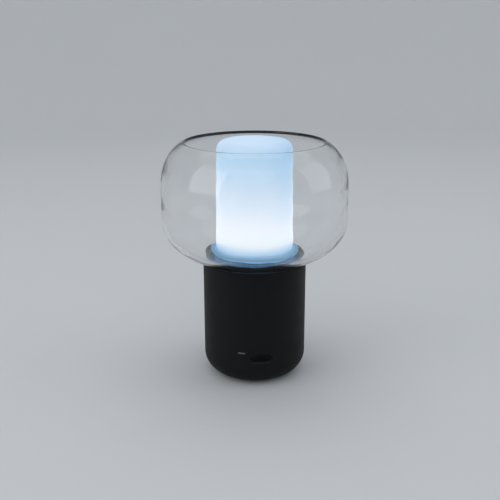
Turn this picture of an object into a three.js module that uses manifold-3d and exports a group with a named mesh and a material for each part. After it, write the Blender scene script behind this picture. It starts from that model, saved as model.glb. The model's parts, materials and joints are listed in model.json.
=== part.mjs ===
// Rechargeable smart table lamp: a cylindrical base, an open-topped blown-glass shade that rests on it,
// and an opal diffuser that drops through the shade over a ring of LEDs.
// Millimetres, +Z up, origin on the table under the axis. -Y is the front, with the button, and +Y the back,
// with the charging port.
import * as THREE from "three";
import { mergeVertices } from "three/addons/utils/BufferGeometryUtils.js";
import Module from "manifold-3d";

const wasm = await Module();
wasm.setup();

// ---- driving dimensions ----
const GAP = 0.3; // clearance between neighbouring solids
const ROUND = 40; // facets of a large turned piece
const SMALL_ROUND = 12; // facets of a screw, a pin or a wire

const BASE_R = 50;
const SHELL_BOTTOM = 1.2; // the foot ring holds the shell this far off the table
const SHELL_TOP = 116;
const SHELL_FILLET = 20;
const SHELL_WALL = 2.8;
const SHELL_FLOOR_TOP = 6.6;

const GLASS_R = 89;
const GLASS_WALL = 4.5;
const BOWL_CENTRE_R = 14; // the bowl's section is an ellipse about this radius
const BOWL_TOP = 155;
const BOWL_DEPTH = 43.3;
const SHOULDER_BOTTOM = 190;
const SHOULDER_WIDTH = 31.6;
const SHOULDER_HEIGHT = 42.3;
const RIM_ANGLE = 73.5; // degrees up the shoulder's ellipse where the top opening cuts it
const GLASS_HOLE_R = 37;

const DIFFUSER_R = 37.3; // at its foot
const DIFFUSER_TOP_R = 35.9; // the tube is drawn in by its mould's draft
const DIFFUSER_WALL = 2.8;
const DIFFUSER_TOP = 231.5;
const DIFFUSER_FILLET = 8.8;
const FLANGE_R = 43.1;
const FLANGE_BOTTOM = 121.9;
const FLANGE_TOP = 124.1;
const NECK_R = 34.2;
const NECK_BORE_R = 31.6;
const NECK_BOTTOM = 112.1;

const DECK_R = BASE_R - SHELL_WALL - GAP;
const DECK_BOTTOM = 108.5;
const DECK_TOP = 111.5;
const COLLAR_R = 30.6;
const COLLAR_BORE_R = 28.2;
const COLLAR_TOP = 121.5;
const HEAT_SINK_TOP = 123.8;
const HEAT_SINK_BOTTOM = 99.5;
const LED_COUNT = 8;
const LED_RING_R = 19.5;

const CELL_R = 9.2;
const CELL_LENGTH = 65;
const CELL_PITCH = 20;
const CELL_BOTTOM = 20.8;
const CRADLE_SIDE = 44;
const CRADLE_CORNER = 8;

const BUTTON_Z = 31.4;
const BUTTON_WIDTH = 20.3;
const BUTTON_HEIGHT = 8.8;
const BUTTON_FACE_R = 48.4; // the face stands back from the shell's outside
const BUTTON_BACK_Y = -44.3;
const SCOOP_R = 10.2; // the scoop is cut by an ellipsoid, round seen from the side
const SCOOP_WIDTH_R = 13.4;
const SCOOP_DEPTH = 2.9;
const SCOOP_DROP = 4;
const BUTTON_BOARD_Y = -38.6; // the front face of the board that carries the switch
const PIPE_X = -18.4;
const PIPE_Z = 36.1;
const PORT_Z = 30;
const BOARD_THICKNESS = 1.6;

// ---- finishes ----
const finish = (color, roughness, metalness = 0, extra = {}) =>
  new THREE.MeshStandardMaterial({ color, roughness, metalness, ...extra });
const clearGlass = finish(0xdfe6e8, 0.03, 0, { transparent: true, opacity: 0.3 });
const opal = finish(0xd8ecff, 0.4, 0, { emissive: 0x9cc8f5, emissiveIntensity: 0.8 });
const blackShell = finish(0x14161a, 0.55);
const blackPlastic = finish(0x1a1b1e, 0.6);
const whitePlastic = finish(0xf0f0ec, 0.5);
const darkSilicone = finish(0x202226, 0.85);
const milkySilicone = finish(0xbcd4e6, 0.6);
const aluminium = finish(0xb9bcc0, 0.35, 1);
const steel = finish(0x9a9da1, 0.3, 1);
const nickel = finish(0xc8c4b8, 0.3, 1);
const boardGreen = finish(0x14452c, 0.5);
const boardWhite = finish(0xe9e9e4, 0.45);
const cellWrap = finish(0x2f6fae, 0.35);
const chipBlack = finish(0x17181a, 0.5);
const phosphor = finish(0xf2e6a0, 0.3);
const lightPipe = finish(0xe6e8ea, 0.25);
const wireRed = finish(0xa3201c, 0.5);

// ---- shape helpers ----
const lamp = new THREE.Group();
const radians = (degrees) => (degrees * Math.PI) / 180;
const onCircle = (r, degrees) => [r * Math.cos(radians(degrees)), r * Math.sin(radians(degrees))];

/** Adds one named piece to the lamp. */
function add(name, geometry, material) {
  const mesh = new THREE.Mesh(geometry, material);
  mesh.name = name;
  lamp.add(mesh);
  return mesh;
}

/** Points [radius, height] along an elliptical arc, both ends included. */
function arc(centreR, centreZ, a, b, from, to, steps) {
  return Array.from({ length: steps + 1 }, (_, i) => {
    const t = radians(from + ((to - from) * i) / steps);
    return [centreR + a * Math.cos(t), centreZ + b * Math.sin(t)];
  });
}

/** A turned piece from [radius, height] points, given up the outside and back down the inside or the axis. */
function turned(points, segments = ROUND) {
  const onAxis = points[0][0] === 0;
  const profile = (onAxis ? points : [...points, points[0]]).map(([r, z]) => new THREE.Vector2(r, z));
  return new THREE.LatheGeometry(profile, segments).rotateX(Math.PI / 2);
}

/** A solid cylinder standing on z. */
const rod = (r, z, height, segments = SMALL_ROUND) =>
  turned([[0, z], [r, z], [r, z + height], [0, z + height]], segments);

/** A box centred on x and y, standing on z. */
const block = (width, depth, height, x = 0, y = 0, z = 0) =>
  new THREE.BoxGeometry(width, depth, height).translate(x, y, z + height / 2);

/** A rounded rectangle outline centred on the origin. */
function roundedOutline(width, height, corner) {
  const [w, h, shape] = [width / 2, height / 2, new THREE.Shape()];
  shape.moveTo(w, corner - h);
  shape.lineTo(w, h - corner);
  shape.absarc(w - corner, h - corner, corner, 0, Math.PI / 2);
  shape.lineTo(corner - w, h);
  shape.absarc(corner - w, h - corner, corner, Math.PI / 2, Math.PI);
  shape.lineTo(-w, corner - h);
  shape.absarc(corner - w, corner - h, corner, Math.PI, 1.5 * Math.PI);
  shape.lineTo(w - corner, -h);
  shape.absarc(w - corner, corner - h, corner, 1.5 * Math.PI, 2 * Math.PI);
  return shape;
}

/** A rounded rectangle standing on z. */
const plate = (width, depth, corner, height, z) =>
  new THREE.ExtrudeGeometry(roundedOutline(width, depth, corner), {
    depth: height,
    bevelEnabled: false,
    curveSegments: 4,
  }).translate(0, 0, z);

/** A rounded bar that runs along Y from one y to another, seen from the front as width by height. */
const barAlongY = (width, height, corner, fromY, toY, x, z) =>
  new THREE.ExtrudeGeometry(roundedOutline(width, height, corner), {
    depth: toY - fromY,
    bevelEnabled: false,
    curveSegments: 5,
  })
    .rotateX(Math.PI / 2)
    .translate(x, toY, z);

/** A closed solid from a geometry, with only its positions kept and shared vertices merged. */
function solid(geometry) {
  const bare = new THREE.BufferGeometry().setAttribute("position", geometry.getAttribute("position"));
  if (geometry.index) bare.setIndex(geometry.index);
  const merged = mergeVertices(bare, 1e-4);
  return new wasm.Manifold(
    new wasm.Mesh({
      numProp: 3,
      vertProperties: merged.attributes.position.array,
      triVerts: new Uint32Array(merged.index.array),
    }),
  );
}

/** A geometry from a solid. */
function surface(made) {
  const { vertProperties, triVerts } = made.getMesh();
  return new THREE.BufferGeometry()
    .setAttribute("position", new THREE.BufferAttribute(new Float32Array(vertProperties), 3))
    .setIndex(new THREE.BufferAttribute(triVerts, 1));
}

const joined = (first, ...others) => others.reduce((sum, g) => sum.add(solid(g)), solid(first));
const cut = (from, ...tools) => tools.reduce((rest, g) => rest.subtract(solid(g)), from);

/** A screw that points down from under its head: a pan head, or a countersunk one. */
function screw(headR, headHeight, shankR, length, topZ, countersunk = false) {
  const under = topZ - headHeight;
  const rimZ = countersunk ? topZ - 0.3 : under;
  const head = [[headR, rimZ], [headR, topZ]];
  const body = [[0, under - length], [shankR, under - length], [shankR, under], ...head, [0, topZ]];
  const recess = rod(headR * 0.42, topZ - headHeight * 0.6, headHeight, 6);
  return surface(cut(solid(turned(body, SMALL_ROUND)), recess));
}

/** A plain round tube of wire through points, as a section extruded along a smooth curve. */
function wire(points, r, steps) {
  const path = new THREE.CatmullRomCurve3(points.map((p) => new THREE.Vector3(...p)));
  const section = new THREE.Shape(
    Array.from({ length: 8 }, (_, i) => new THREE.Vector2(...onCircle(r, i * 45))),
  );
  return new THREE.ExtrudeGeometry(section, { steps, bevelEnabled: false, extrudePath: path });
}

// ---- glass shade ----
/** Height of the bowl's outside at a radius, or of its inside with the wall's thickness as inset. */
function bowlZ(r, inset = 0) {
  const share = (r - BOWL_CENTRE_R) / (GLASS_R - inset - BOWL_CENTRE_R);
  return BOWL_TOP - (BOWL_DEPTH - inset) * Math.sqrt(1 - share * share);
}

/** One face of the shade's wall, from the hole in the bowl up to the rim, inset from the outside. */
function shadeFace(inset) {
  const bowlA = GLASS_R - inset - BOWL_CENTRE_R;
  const bowlB = BOWL_DEPTH - inset;
  const [shoulderA, shoulderB] = [SHOULDER_WIDTH - inset, SHOULDER_HEIGHT - inset];
  const angleAtHole = -THREE.MathUtils.radToDeg(Math.acos((GLASS_HOLE_R - BOWL_CENTRE_R) / bowlA));
  return [
    ...arc(BOWL_CENTRE_R, BOWL_TOP, bowlA, bowlB, angleAtHole, 0, 8),
    ...arc(GLASS_R - SHOULDER_WIDTH, SHOULDER_BOTTOM, shoulderA, shoulderB, 0, RIM_ANGLE, 6),
  ];
}

function glassShade() {
  const outside = shadeFace(0);
  const inside = shadeFace(GLASS_WALL).reverse();
  const [rimOut, rimIn] = [outside.at(-1), inside[0]];
  // The fire-polished lip stands a little proud of the line between the two faces.
  const lip = [(rimOut[0] + rimIn[0]) / 2 - 0.6, (rimOut[1] + rimIn[1]) / 2 + 0.9];
  return turned([...outside, lip, ...inside]);
}

/** The translucent silicone ring in the glass's hole, between the glass and the diffuser's flange. */
function shadeGrommet() {
  const [boreR, holeR, lipR] = [NECK_R + GAP + 0.1, GLASS_HOLE_R - GAP, 39];
  const onGlass = (r) => [r, bowlZ(r, GLASS_WALL) + GAP];
  return turned([
    [boreR, bowlZ(GLASS_HOLE_R)],
    [holeR, bowlZ(GLASS_HOLE_R)],
    [holeR, onGlass(holeR + 0.6)[1] + 0.2],
    onGlass(38),
    onGlass(lipR),
    [lipR, FLANGE_BOTTOM - GAP],
    [boreR, FLANGE_BOTTOM - GAP],
  ]);
}

add("glass_shade", glassShade(), clearGlass);
add("shade_grommet", shadeGrommet(), milkySilicone);

// ---- opal diffuser: a capped tube with a flange to rest on and a neck that slips over the collar ----
function opalDiffuser() {
  const boreR = DIFFUSER_R - DIFFUSER_WALL;
  const filletZ = DIFFUSER_TOP - DIFFUSER_FILLET;
  const filletR = DIFFUSER_TOP_R - DIFFUSER_FILLET;
  const innerFillet = DIFFUSER_FILLET - DIFFUSER_WALL;
  const edge = 0.6;
  return turned([
    [0, DIFFUSER_TOP - DIFFUSER_WALL],
    ...arc(filletR, filletZ, innerFillet, innerFillet, 90, 0, 4),
    [boreR, FLANGE_TOP + 2.5],
    [NECK_BORE_R, FLANGE_TOP - 1],
    [NECK_BORE_R, NECK_BOTTOM],
    [NECK_R, NECK_BOTTOM],
    [NECK_R, FLANGE_BOTTOM],
    [FLANGE_R - edge, FLANGE_BOTTOM],
    [FLANGE_R, FLANGE_BOTTOM + edge],
    [FLANGE_R, FLANGE_TOP - edge],
    [FLANGE_R - edge, FLANGE_TOP],
    [DIFFUSER_R, FLANGE_TOP],
    ...arc(filletR, filletZ, DIFFUSER_FILLET, DIFFUSER_FILLET, 0, 90, 5),
    [0, DIFFUSER_TOP],
  ]);
}

add("opal_diffuser", opalDiffuser(), opal);

// ---- base shell ----
const buttonBoardY = BUTTON_BOARD_Y + BOARD_THICKNESS / 2;
const BOSS_ANGLES = [30, 150, 270];
const BOSS_RING_R = 37.9;
const FLOOR_HOLE_R = 17;
const COVER_RECESS_R = 24;
const COVER_RECESS_TOP = 4.2;
const FOOT_INNER_R = 25.3;
const FOOT_OUTER_R = 29.3;
const COVER_SCREW_R = 20;
const COVER_SCREW_ANGLES = [90, 210, 330];
const SHELL_BORE_R = BASE_R - SHELL_WALL;

/** A radial rib with a screw boss at its end, under the deck. */
function deckBoss(degrees) {
  const [x, y] = onCircle(BOSS_RING_R, degrees);
  const [ribFrom, ribTo] = [BOSS_RING_R, SHELL_BORE_R + 0.6];
  const rib = block(ribTo - ribFrom, 2.4, 12, (ribFrom + ribTo) / 2, 0, 96);
  return [rod(3.2, 96, 12.2).translate(x, y, 0), rib.rotateZ(radians(degrees))];
}

function housingShell() {
  const innerFillet = BASE_R - SHELL_WALL - 32.6;
  const filletTop = SHELL_BOTTOM + SHELL_FILLET;
  const cup = turned([
    [FLOOR_HOLE_R, COVER_RECESS_TOP],
    [COVER_RECESS_R, COVER_RECESS_TOP],
    [COVER_RECESS_R, SHELL_BOTTOM],
    [FOOT_INNER_R, SHELL_BOTTOM],
    [FOOT_INNER_R, SHELL_BOTTOM + 0.8],
    [FOOT_OUTER_R, SHELL_BOTTOM + 0.8],
    [FOOT_OUTER_R, SHELL_BOTTOM],
    ...arc(BASE_R - SHELL_FILLET, filletTop, SHELL_FILLET, SHELL_FILLET, -90, 0, 7),
    [BASE_R, SHELL_TOP - 0.8],
    [BASE_R - 0.8, SHELL_TOP],
    [SHELL_BORE_R + 1, SHELL_TOP],
    [SHELL_BORE_R, SHELL_TOP - 1.2],
    ...arc(SHELL_BORE_R - innerFillet, SHELL_FLOOR_TOP + innerFillet, innerFillet, innerFillet, 0, -90, 4),
    [FLOOR_HOLE_R, SHELL_FLOOR_TOP],
  ]);
  const railFoot = BUTTON_Z - 7;
  const buttonRails = [block(5.2, 3.9, 16, -27.9, -37, railFoot), block(3.2, 10.6, 16, 14, -40.3, railFoot)];
  const boardGroove = block(39.7, BOARD_THICKNESS + 0.6, 20, -6.45, buttonBoardY, railFoot + 0.2);
  const portLedges = [-8.4, 8.4].map((x) => block(3, 11, 2, x, 41.2, 24.4));
  const shell = joined(cup, ...BOSS_ANGLES.flatMap(deckBoss), ...portLedges);
  // The rails are trimmed to the shell's round outside before they join it.
  const rails = joined(...buttonRails).intersect(solid(rod(SHELL_BORE_R + 1, 20, 24, ROUND)));
  const [holeWidth, holeHeight] = [BUTTON_WIDTH + 0.6, BUTTON_HEIGHT + 0.6];
  return surface(
    cut(
      shell.add(cut(rails, boardGroove)),
      barAlongY(holeWidth, holeHeight, holeHeight / 2 - 0.01, -52, -43, 0, BUTTON_Z),
      barAlongY(7.1, 1.6, 0.79, -52, -40, PIPE_X, PIPE_Z),
      barAlongY(9.7, 4.1, 2, 44, 52, 0, PORT_Z),
      ...COVER_SCREW_ANGLES.map((a) => rod(1.8, 3, 5).translate(...onCircle(COVER_SCREW_R, a), 0)),
      ...BOSS_ANGLES.map((a) => rod(1.5, 99, 12).translate(...onCircle(BOSS_RING_R, a), 0)),
    ),
  );
}

add("housing_shell", housingShell(), blackShell);
const footGap = 0.2;
const footRing = [
  [FOOT_INNER_R + footGap, 0],
  [FOOT_OUTER_R - footGap, 0],
  [FOOT_OUTER_R - footGap, SHELL_BOTTOM + 0.6],
  [FOOT_INNER_R + footGap, SHELL_BOTTOM + 0.6],
];
add("foot_ring", turned(footRing), darkSilicone);

// ---- bottom cover and ballast ----
const COVER_BOTTOM = SHELL_BOTTOM + 0.2;
const BALLAST_BOTTOM = SHELL_FLOOR_TOP + 0.2;
const BALLAST_TOP = 14.4;
const BALLAST_R = 40;
const CRADLE_SCREW_X = 19;

/** A cutter for a screw's clearance hole, with a cone that widens from one height to another. */
function countersinkCutter(holeR, headR, endZ, coneFrom, coneTo, mouthZ) {
  const cone = [[holeR, coneFrom], [headR, coneTo]];
  return turned([[0, endZ], [holeR, endZ], ...cone, [headR, mouthZ], [0, mouthZ]], SMALL_ROUND);
}

const coverHoles = COVER_SCREW_ANGLES.map((a) =>
  countersinkCutter(1.8, 3.2, -6, -COVER_BOTTOM - 2, -COVER_BOTTOM - 0.6, 0)
    .rotateX(Math.PI)
    .translate(...onCircle(COVER_SCREW_R, a), 0),
);
const coverDisc = rod(COVER_RECESS_R - GAP, COVER_BOTTOM, 2.5, ROUND);
add("bottom_cover", surface(cut(solid(coverDisc), ...coverHoles)), blackPlastic);
COVER_SCREW_ANGLES.forEach((a, i) => {
  const flipped = screw(2.8, 1.7, 1.4, 7, 0, true).rotateX(Math.PI);
  add(`cover_screw_${i + 1}`, flipped.translate(...onCircle(COVER_SCREW_R, a), COVER_BOTTOM + 0.2), steel);
});

const ballast = turned([
  [0, BALLAST_BOTTOM],
  [33, BALLAST_BOTTOM],
  [BALLAST_R, 12],
  [BALLAST_R, BALLAST_TOP],
  [0, BALLAST_TOP],
]);
add(
  "ballast_plate",
  surface(
    cut(
      solid(ballast),
      ...BOSS_ANGLES.map((a) => rod(5.5, 5, 12).translate(...onCircle(BOSS_RING_R + 0.6, a), 0)),
      ...COVER_SCREW_ANGLES.map((a) => rod(1.7, 5, 7).translate(...onCircle(COVER_SCREW_R, a), 0)),
      ...[-1, 1].map((s) => rod(1.7, 8, 8).translate(s * CRADLE_SCREW_X, 0, 0)),
    ),
  ),
  steel,
);

// ---- battery: four cells between two cradles, with welded links ----
const CELL_TOP = CELL_BOTTOM + CELL_LENGTH;
const POCKET_R = CELL_R + 0.25;
const LOWER_CRADLE_BOTTOM = BALLAST_TOP + 0.2;
const LOWER_CRADLE_TOP = 26;
const UPPER_CRADLE_BOTTOM = 79.5;
const UPPER_CRADLE_TOP = 88;
const LINK = 0.3;
const halfPitch = CELL_PITCH / 2;
const cellPlaces = [halfPitch, -halfPitch].flatMap((x) => [halfPitch, -halfPitch].map((y) => [x, y]));
const bottomLinkZ = CELL_BOTTOM - LINK - 0.1;
const topLinkZ = CELL_TOP + 0.1;

cellPlaces.forEach(([x, y], i) => {
  const cell = turned(
    [
      [0, CELL_BOTTOM],
      [CELL_R - 0.5, CELL_BOTTOM],
      [CELL_R, CELL_BOTTOM + 0.5],
      [CELL_R, CELL_TOP - 0.9],
      [CELL_R - 0.9, CELL_TOP - 0.4],
      [3.2, CELL_TOP - 0.4],
      [3.2, CELL_TOP],
      [0, CELL_TOP],
    ],
    16,
  );
  add(`battery_cell_${i + 1}`, cell.translate(x, y, 0), cellWrap);
});

const pockets = (z, height) => cellPlaces.map(([x, y]) => rod(POCKET_R, z, height, 16).translate(x, y, 0));
const cradleScrewHoles = (r, z, height) =>
  [-1, 1].map((s) => rod(r, z, height).translate(s * CRADLE_SCREW_X, 0, 0));
const cradlePlate = (bottom, top) => plate(CRADLE_SIDE, CRADLE_SIDE, CRADLE_CORNER, top - bottom, bottom);
add(
  "lower_cradle",
  surface(
    cut(
      solid(cradlePlate(LOWER_CRADLE_BOTTOM, LOWER_CRADLE_TOP)),
      ...pockets(bottomLinkZ - 0.2, 10),
      block(30.6, 30.6, 1.4, 0, 0, bottomLinkZ - 0.2),
      ...cradleScrewHoles(1.7, 10, 20),
      ...cradleScrewHoles(2.9, LOWER_CRADLE_TOP - 4, 5),
    ),
  ),
  blackPlastic,
);
add("series_link", block(30, 30, LINK, 0, 0, bottomLinkZ), nickel);
const BOARD_BOTTOM = 90.4;
const boardPosts = [-1, 1].map((s) =>
  rod(3, UPPER_CRADLE_TOP - 0.5, BOARD_BOTTOM - UPPER_CRADLE_TOP + 0.3).translate(s * CRADLE_SCREW_X, 0, 0),
);
const poleLinkSpace = block(28.6, 8.6, 1.6, 0, 0, topLinkZ + LINK - 1.4);
add(
  "upper_cradle",
  surface(
    cut(
      joined(cradlePlate(UPPER_CRADLE_BOTTOM, UPPER_CRADLE_TOP), ...boardPosts),
      ...pockets(UPPER_CRADLE_BOTTOM - 1, topLinkZ + LINK - UPPER_CRADLE_BOTTOM + 1.2),
      ...[-1, 1].map((s) => poleLinkSpace.clone().translate(0, s * halfPitch, 0)),
      ...cradleScrewHoles(1.6, 82, 12),
    ),
  ),
  blackPlastic,
);
[-1, 1].forEach((s, i) => {
  add(`pole_link_${i + 1}`, block(28, 8, LINK, 0, s * halfPitch, topLinkZ), nickel);
  const cradleScrew = screw(2.6, 1.8, 1.4, 12.5, LOWER_CRADLE_TOP - 4 + 2);
  add(`cradle_screw_${i + 1}`, cradleScrew.translate(s * CRADLE_SCREW_X, 0, 0), steel);
  const boardScrew = screw(2.5, 1.6, 1.3, 7, BOARD_BOTTOM + BOARD_THICKNESS + 1.8);
  add(`board_screw_${i + 1}`, boardScrew.translate(s * CRADLE_SCREW_X, 0, 0), steel);
});

// ---- control board and what is soldered to it ----
const BOARD_TOP = BOARD_BOTTOM + BOARD_THICKNESS;
const ON_BOARD = BOARD_TOP + 0.1;
const controlDisc = rod(33.5, BOARD_BOTTOM, BOARD_THICKNESS, ROUND);
add("control_board", surface(cut(solid(controlDisc), ...cradleScrewHoles(1.6, 89, 6))), boardGreen);
add("radio_module", block(15, 12, 2.6, -14, -15, ON_BOARD), nickel);
add("controller_chip", block(8, 8, 1.2, 2, -14, ON_BOARD), chipBlack);
add("charge_coil", block(8, 8, 4, 15, -14, ON_BOARD), chipBlack);
[[-24, 9], [-16, 15]].forEach(([x, y], i) =>
  add(`capacitor_${i + 1}`, rod(3.1, ON_BOARD, 6.2).translate(x, y, 0), aluminium),
);
add("battery_socket", block(8, 6, 5, 0, 25, ON_BOARD), whitePlastic);
add("led_socket", block(8, 5, 3.4, 0, 0, ON_BOARD), whitePlastic);
const batteryLead = [
  [0, 22.4, 83],
  [0, 27, 81.5],
  [0, 35, 84],
  [0, 36.8, 90],
  [0, 35.6, 95],
  [0, 31.6, 95.2],
  [0, 28.3, 94.8],
];
add("battery_lead", wire(batteryLead, 1.1, 24), wireRed);
const ledLead = [
  [0, 0, 95.8],
  [0, 0.9, 101],
  [0, -0.9, 113],
  [0, 0, 123.6],
];
add("led_lead", wire(ledLead, 1.6, 18), wireRed);

// ---- deck, with the collar that the diffuser's neck slips over ----
const O_RING_Z = 117;
const deckProfile = turned([
  [22, DECK_BOTTOM],
  [DECK_R, DECK_BOTTOM],
  [DECK_R, DECK_TOP],
  [COLLAR_R, DECK_TOP],
  [COLLAR_R, O_RING_Z - 1.2],
  [COLLAR_R - 1.2, O_RING_Z - 1.2],
  [COLLAR_R - 1.2, O_RING_Z + 1.2],
  [COLLAR_R, O_RING_Z + 1.2],
  [COLLAR_R, COLLAR_TOP - 0.8],
  [COLLAR_R - 0.8, COLLAR_TOP],
  [COLLAR_BORE_R, COLLAR_TOP],
  [COLLAR_BORE_R, DECK_TOP],
  [22, DECK_TOP],
]);
const countersinks = BOSS_ANGLES.map((a) =>
  countersinkCutter(1.8, 2.9, 107, DECK_TOP - 1.8, DECK_TOP - 0.7, 113).translate(
    ...onCircle(BOSS_RING_R, a),
    0,
  ),
);
add("top_deck", surface(cut(solid(deckProfile), ...countersinks)), blackPlastic);
BOSS_ANGLES.forEach((a, i) => {
  const deckScrew = screw(2.6, 1.5, 1.3, 8, DECK_TOP - 0.1, true);
  add(`deck_screw_${i + 1}`, deckScrew.translate(...onCircle(BOSS_RING_R, a), 0), steel);
});
add("retention_ring", turned(arc(COLLAR_R - 0.1, O_RING_Z, 0.85, 0.85, -180, 120, 5)), darkSilicone);
const [gasketIn, gasketOut] = [41.5, 46.5];
const seatGasket = [
  [gasketIn, DECK_TOP + 0.2],
  [gasketOut, DECK_TOP + 0.2],
  [gasketOut, bowlZ(gasketOut) - GAP],
  [gasketIn, bowlZ(gasketIn) - GAP],
];
add("seat_gasket", turned(seatGasket), darkSilicone);

// ---- light engine ----
const LED_BOARD_BOTTOM = HEAT_SINK_TOP + 0.2;
const LED_BOARD_TOP = LED_BOARD_BOTTOM + BOARD_THICKNESS;
const LED_SCREW_R = 23.6;
const LED_SCREW_ANGLES = [22.5, 202.5];
const ledScrewPlace = (a) => [...onCircle(LED_SCREW_R, a), 0];
const sinkProfile = turned([
  [5, HEAT_SINK_BOTTOM],
  [21.6, HEAT_SINK_BOTTOM],
  [21.6, DECK_TOP + 0.2],
  [COLLAR_BORE_R - GAP, DECK_TOP + 0.2],
  [COLLAR_BORE_R - GAP, HEAT_SINK_TOP],
  [5, HEAT_SINK_TOP],
]);
const finSlots = Array.from({ length: 12 }, (_, i) =>
  block(14, 2.6, 9, 16.5, 0, HEAT_SINK_BOTTOM - 1).rotateZ(radians(i * 30)),
);
const ledScrewHoles = LED_SCREW_ANGLES.map((a) => rod(1.5, 115, 12).translate(...ledScrewPlace(a)));
add("heat_sink", surface(cut(solid(sinkProfile), ...finSlots, ...ledScrewHoles)), aluminium);
const ledDisc = rod(COLLAR_BORE_R - GAP - 0.4, LED_BOARD_BOTTOM, BOARD_THICKNESS, ROUND);
add("led_board", surface(cut(solid(ledDisc), ...ledScrewHoles)), boardWhite);
for (let i = 0; i < LED_COUNT; i++) {
  const led = block(3.5, 3.5, 1, LED_RING_R, 0, LED_BOARD_TOP + 0.1).rotateZ((i * 2 * Math.PI) / LED_COUNT);
  add(`led_${i + 1}`, led, phosphor);
}
LED_SCREW_ANGLES.forEach((a, i) => {
  const ledBoardScrew = screw(2.1, 1.4, 1.2, 7, LED_BOARD_TOP + 1.6);
  add(`led_board_screw_${i + 1}`, ledBoardScrew.translate(...ledScrewPlace(a)), steel);
});
const cone = turned([
  [0, LED_BOARD_TOP + 0.1],
  [11, LED_BOARD_TOP + 0.1],
  [11, LED_BOARD_TOP + 1],
  [7.2, LED_BOARD_TOP + 6],
  [4.2, LED_BOARD_TOP + 13],
  [1.8, LED_BOARD_TOP + 22],
  [0, LED_BOARD_TOP + 24],
], 24);
add("reflector_cone", cone, whitePlastic);

// ---- button, its switch, and the status light pipe, on a board behind the shell's front ----
const SWITCH_FRONT_Y = -42.1;
const buttonBoard = block(39.1, BOARD_THICKNESS, 15.4, -6.45, buttonBoardY, BUTTON_Z - 6.6);
add("button_board", buttonBoard, boardGreen);
const switchBody = block(6, 3.4, 6, 0, SWITCH_FRONT_Y + 1.7, BUTTON_Z - 3);
const plungerBar = (r, fromY, toY) =>
  new THREE.CylinderGeometry(r, r, toY - fromY, SMALL_ROUND).translate(0, (fromY + toY) / 2, BUTTON_Z);
add("tact_switch", surface(cut(solid(switchBody), plungerBar(1.9, SWITCH_FRONT_Y - 1, -39.6))), chipBlack);
add("switch_plunger", plungerBar(1.6, BUTTON_BACK_Y + 0.2, -40.8), whitePlastic);

function controlButton() {
  const [w, h] = [BUTTON_WIDTH, BUTTON_HEIGHT];
  const stem = solid(barAlongY(w, h, h / 2 - 0.01, -52, BUTTON_BACK_Y, 0, BUTTON_Z));
  const faced = stem.intersect(solid(rod(BUTTON_FACE_R, 20, 24, 96)));
  const flange = barAlongY(w + 3.3, h + 3.2, 5.9, BUTTON_BACK_Y - 1.1, BUTTON_BACK_Y, 0, BUTTON_Z);
  // The thumb scoop starts flush at the top of the face and is deepest near its lower lip.
  const scoop = new THREE.SphereGeometry(1, 24, 16).scale(SCOOP_WIDTH_R, SCOOP_R, SCOOP_R);
  scoop.translate(0, SCOOP_DEPTH - BUTTON_FACE_R - SCOOP_R, BUTTON_Z - SCOOP_DROP);
  return surface(cut(faced.add(solid(flange)), scoop));
}
add("control_button", controlButton(), blackPlastic);

const pipeBar = solid(barAlongY(6.5, 1, 0.49, -52, -39.4, PIPE_X, PIPE_Z));
add("status_light_pipe", surface(pipeBar.intersect(solid(rod(BASE_R - 0.05, 30, 14, 96)))), lightPipe);

// ---- charging port and its board, at the back ----
const PORT_FRONT_Y = 49.3;
const PORT_DEPTH = 7.3;
const portBoardTop = PORT_Z - 1.63 - 0.1;
const portBoard = block(20, 12, BOARD_THICKNESS, 0, 39.6, portBoardTop - BOARD_THICKNESS);
add("port_board", portBoard, boardGreen);
const portBody = barAlongY(8.94, 3.26, 1.6, PORT_FRONT_Y - PORT_DEPTH, PORT_FRONT_Y, 0, PORT_Z);
const portMouth = barAlongY(8.34, 2.56, 1.25, PORT_FRONT_Y - 6.2, PORT_FRONT_Y + 1, 0, PORT_Z);
const tongue = block(6.7, 5.4, 0.7, 0, PORT_FRONT_Y - 6.4 + 2.7, PORT_Z - 0.35);
add("usb_port", surface(cut(solid(portBody), portMouth).add(solid(tongue))), nickel);

export default lamp;
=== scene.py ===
"""Looks of a rechargeable table lamp: blown-glass shade, opal diffuser and a soft-touch black base.

Run as a script in Blender 4.5. Lengths are metres; the helper mm() turns millimetres into metres.
"""

import json
import math

import bmesh
import bpy
import numpy as np
from bpy.props import FloatProperty, FloatVectorProperty, PointerProperty
from bpy.types import Operator, Panel, PropertyGroup
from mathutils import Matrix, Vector


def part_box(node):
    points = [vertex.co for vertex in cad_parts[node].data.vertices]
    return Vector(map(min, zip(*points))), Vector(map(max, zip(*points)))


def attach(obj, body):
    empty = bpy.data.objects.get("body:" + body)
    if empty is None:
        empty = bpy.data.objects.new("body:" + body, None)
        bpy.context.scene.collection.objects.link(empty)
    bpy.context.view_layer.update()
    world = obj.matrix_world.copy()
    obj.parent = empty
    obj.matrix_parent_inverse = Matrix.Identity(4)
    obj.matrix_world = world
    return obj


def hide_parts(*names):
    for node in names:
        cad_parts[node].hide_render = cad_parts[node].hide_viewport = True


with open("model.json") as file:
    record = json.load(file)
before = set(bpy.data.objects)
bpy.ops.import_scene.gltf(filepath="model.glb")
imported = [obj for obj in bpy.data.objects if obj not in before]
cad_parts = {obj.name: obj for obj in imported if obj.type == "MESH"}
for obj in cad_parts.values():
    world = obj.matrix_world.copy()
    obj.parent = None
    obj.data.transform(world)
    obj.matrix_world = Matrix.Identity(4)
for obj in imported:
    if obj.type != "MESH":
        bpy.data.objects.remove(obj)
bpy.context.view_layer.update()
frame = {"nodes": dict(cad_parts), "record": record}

bl_info = {
    "name": "Table lamp looks",
    "version": (1, 0, 0),
    "blender": (4, 5, 0),
    "location": "View3D > Sidebar > Table Lamp",
    "description": "Builds the fine surfaces, finishes and stage of a glass table lamp",
    "category": "Object",
}


# ---- measures ----------------------------------------------------------------------------------


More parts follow.
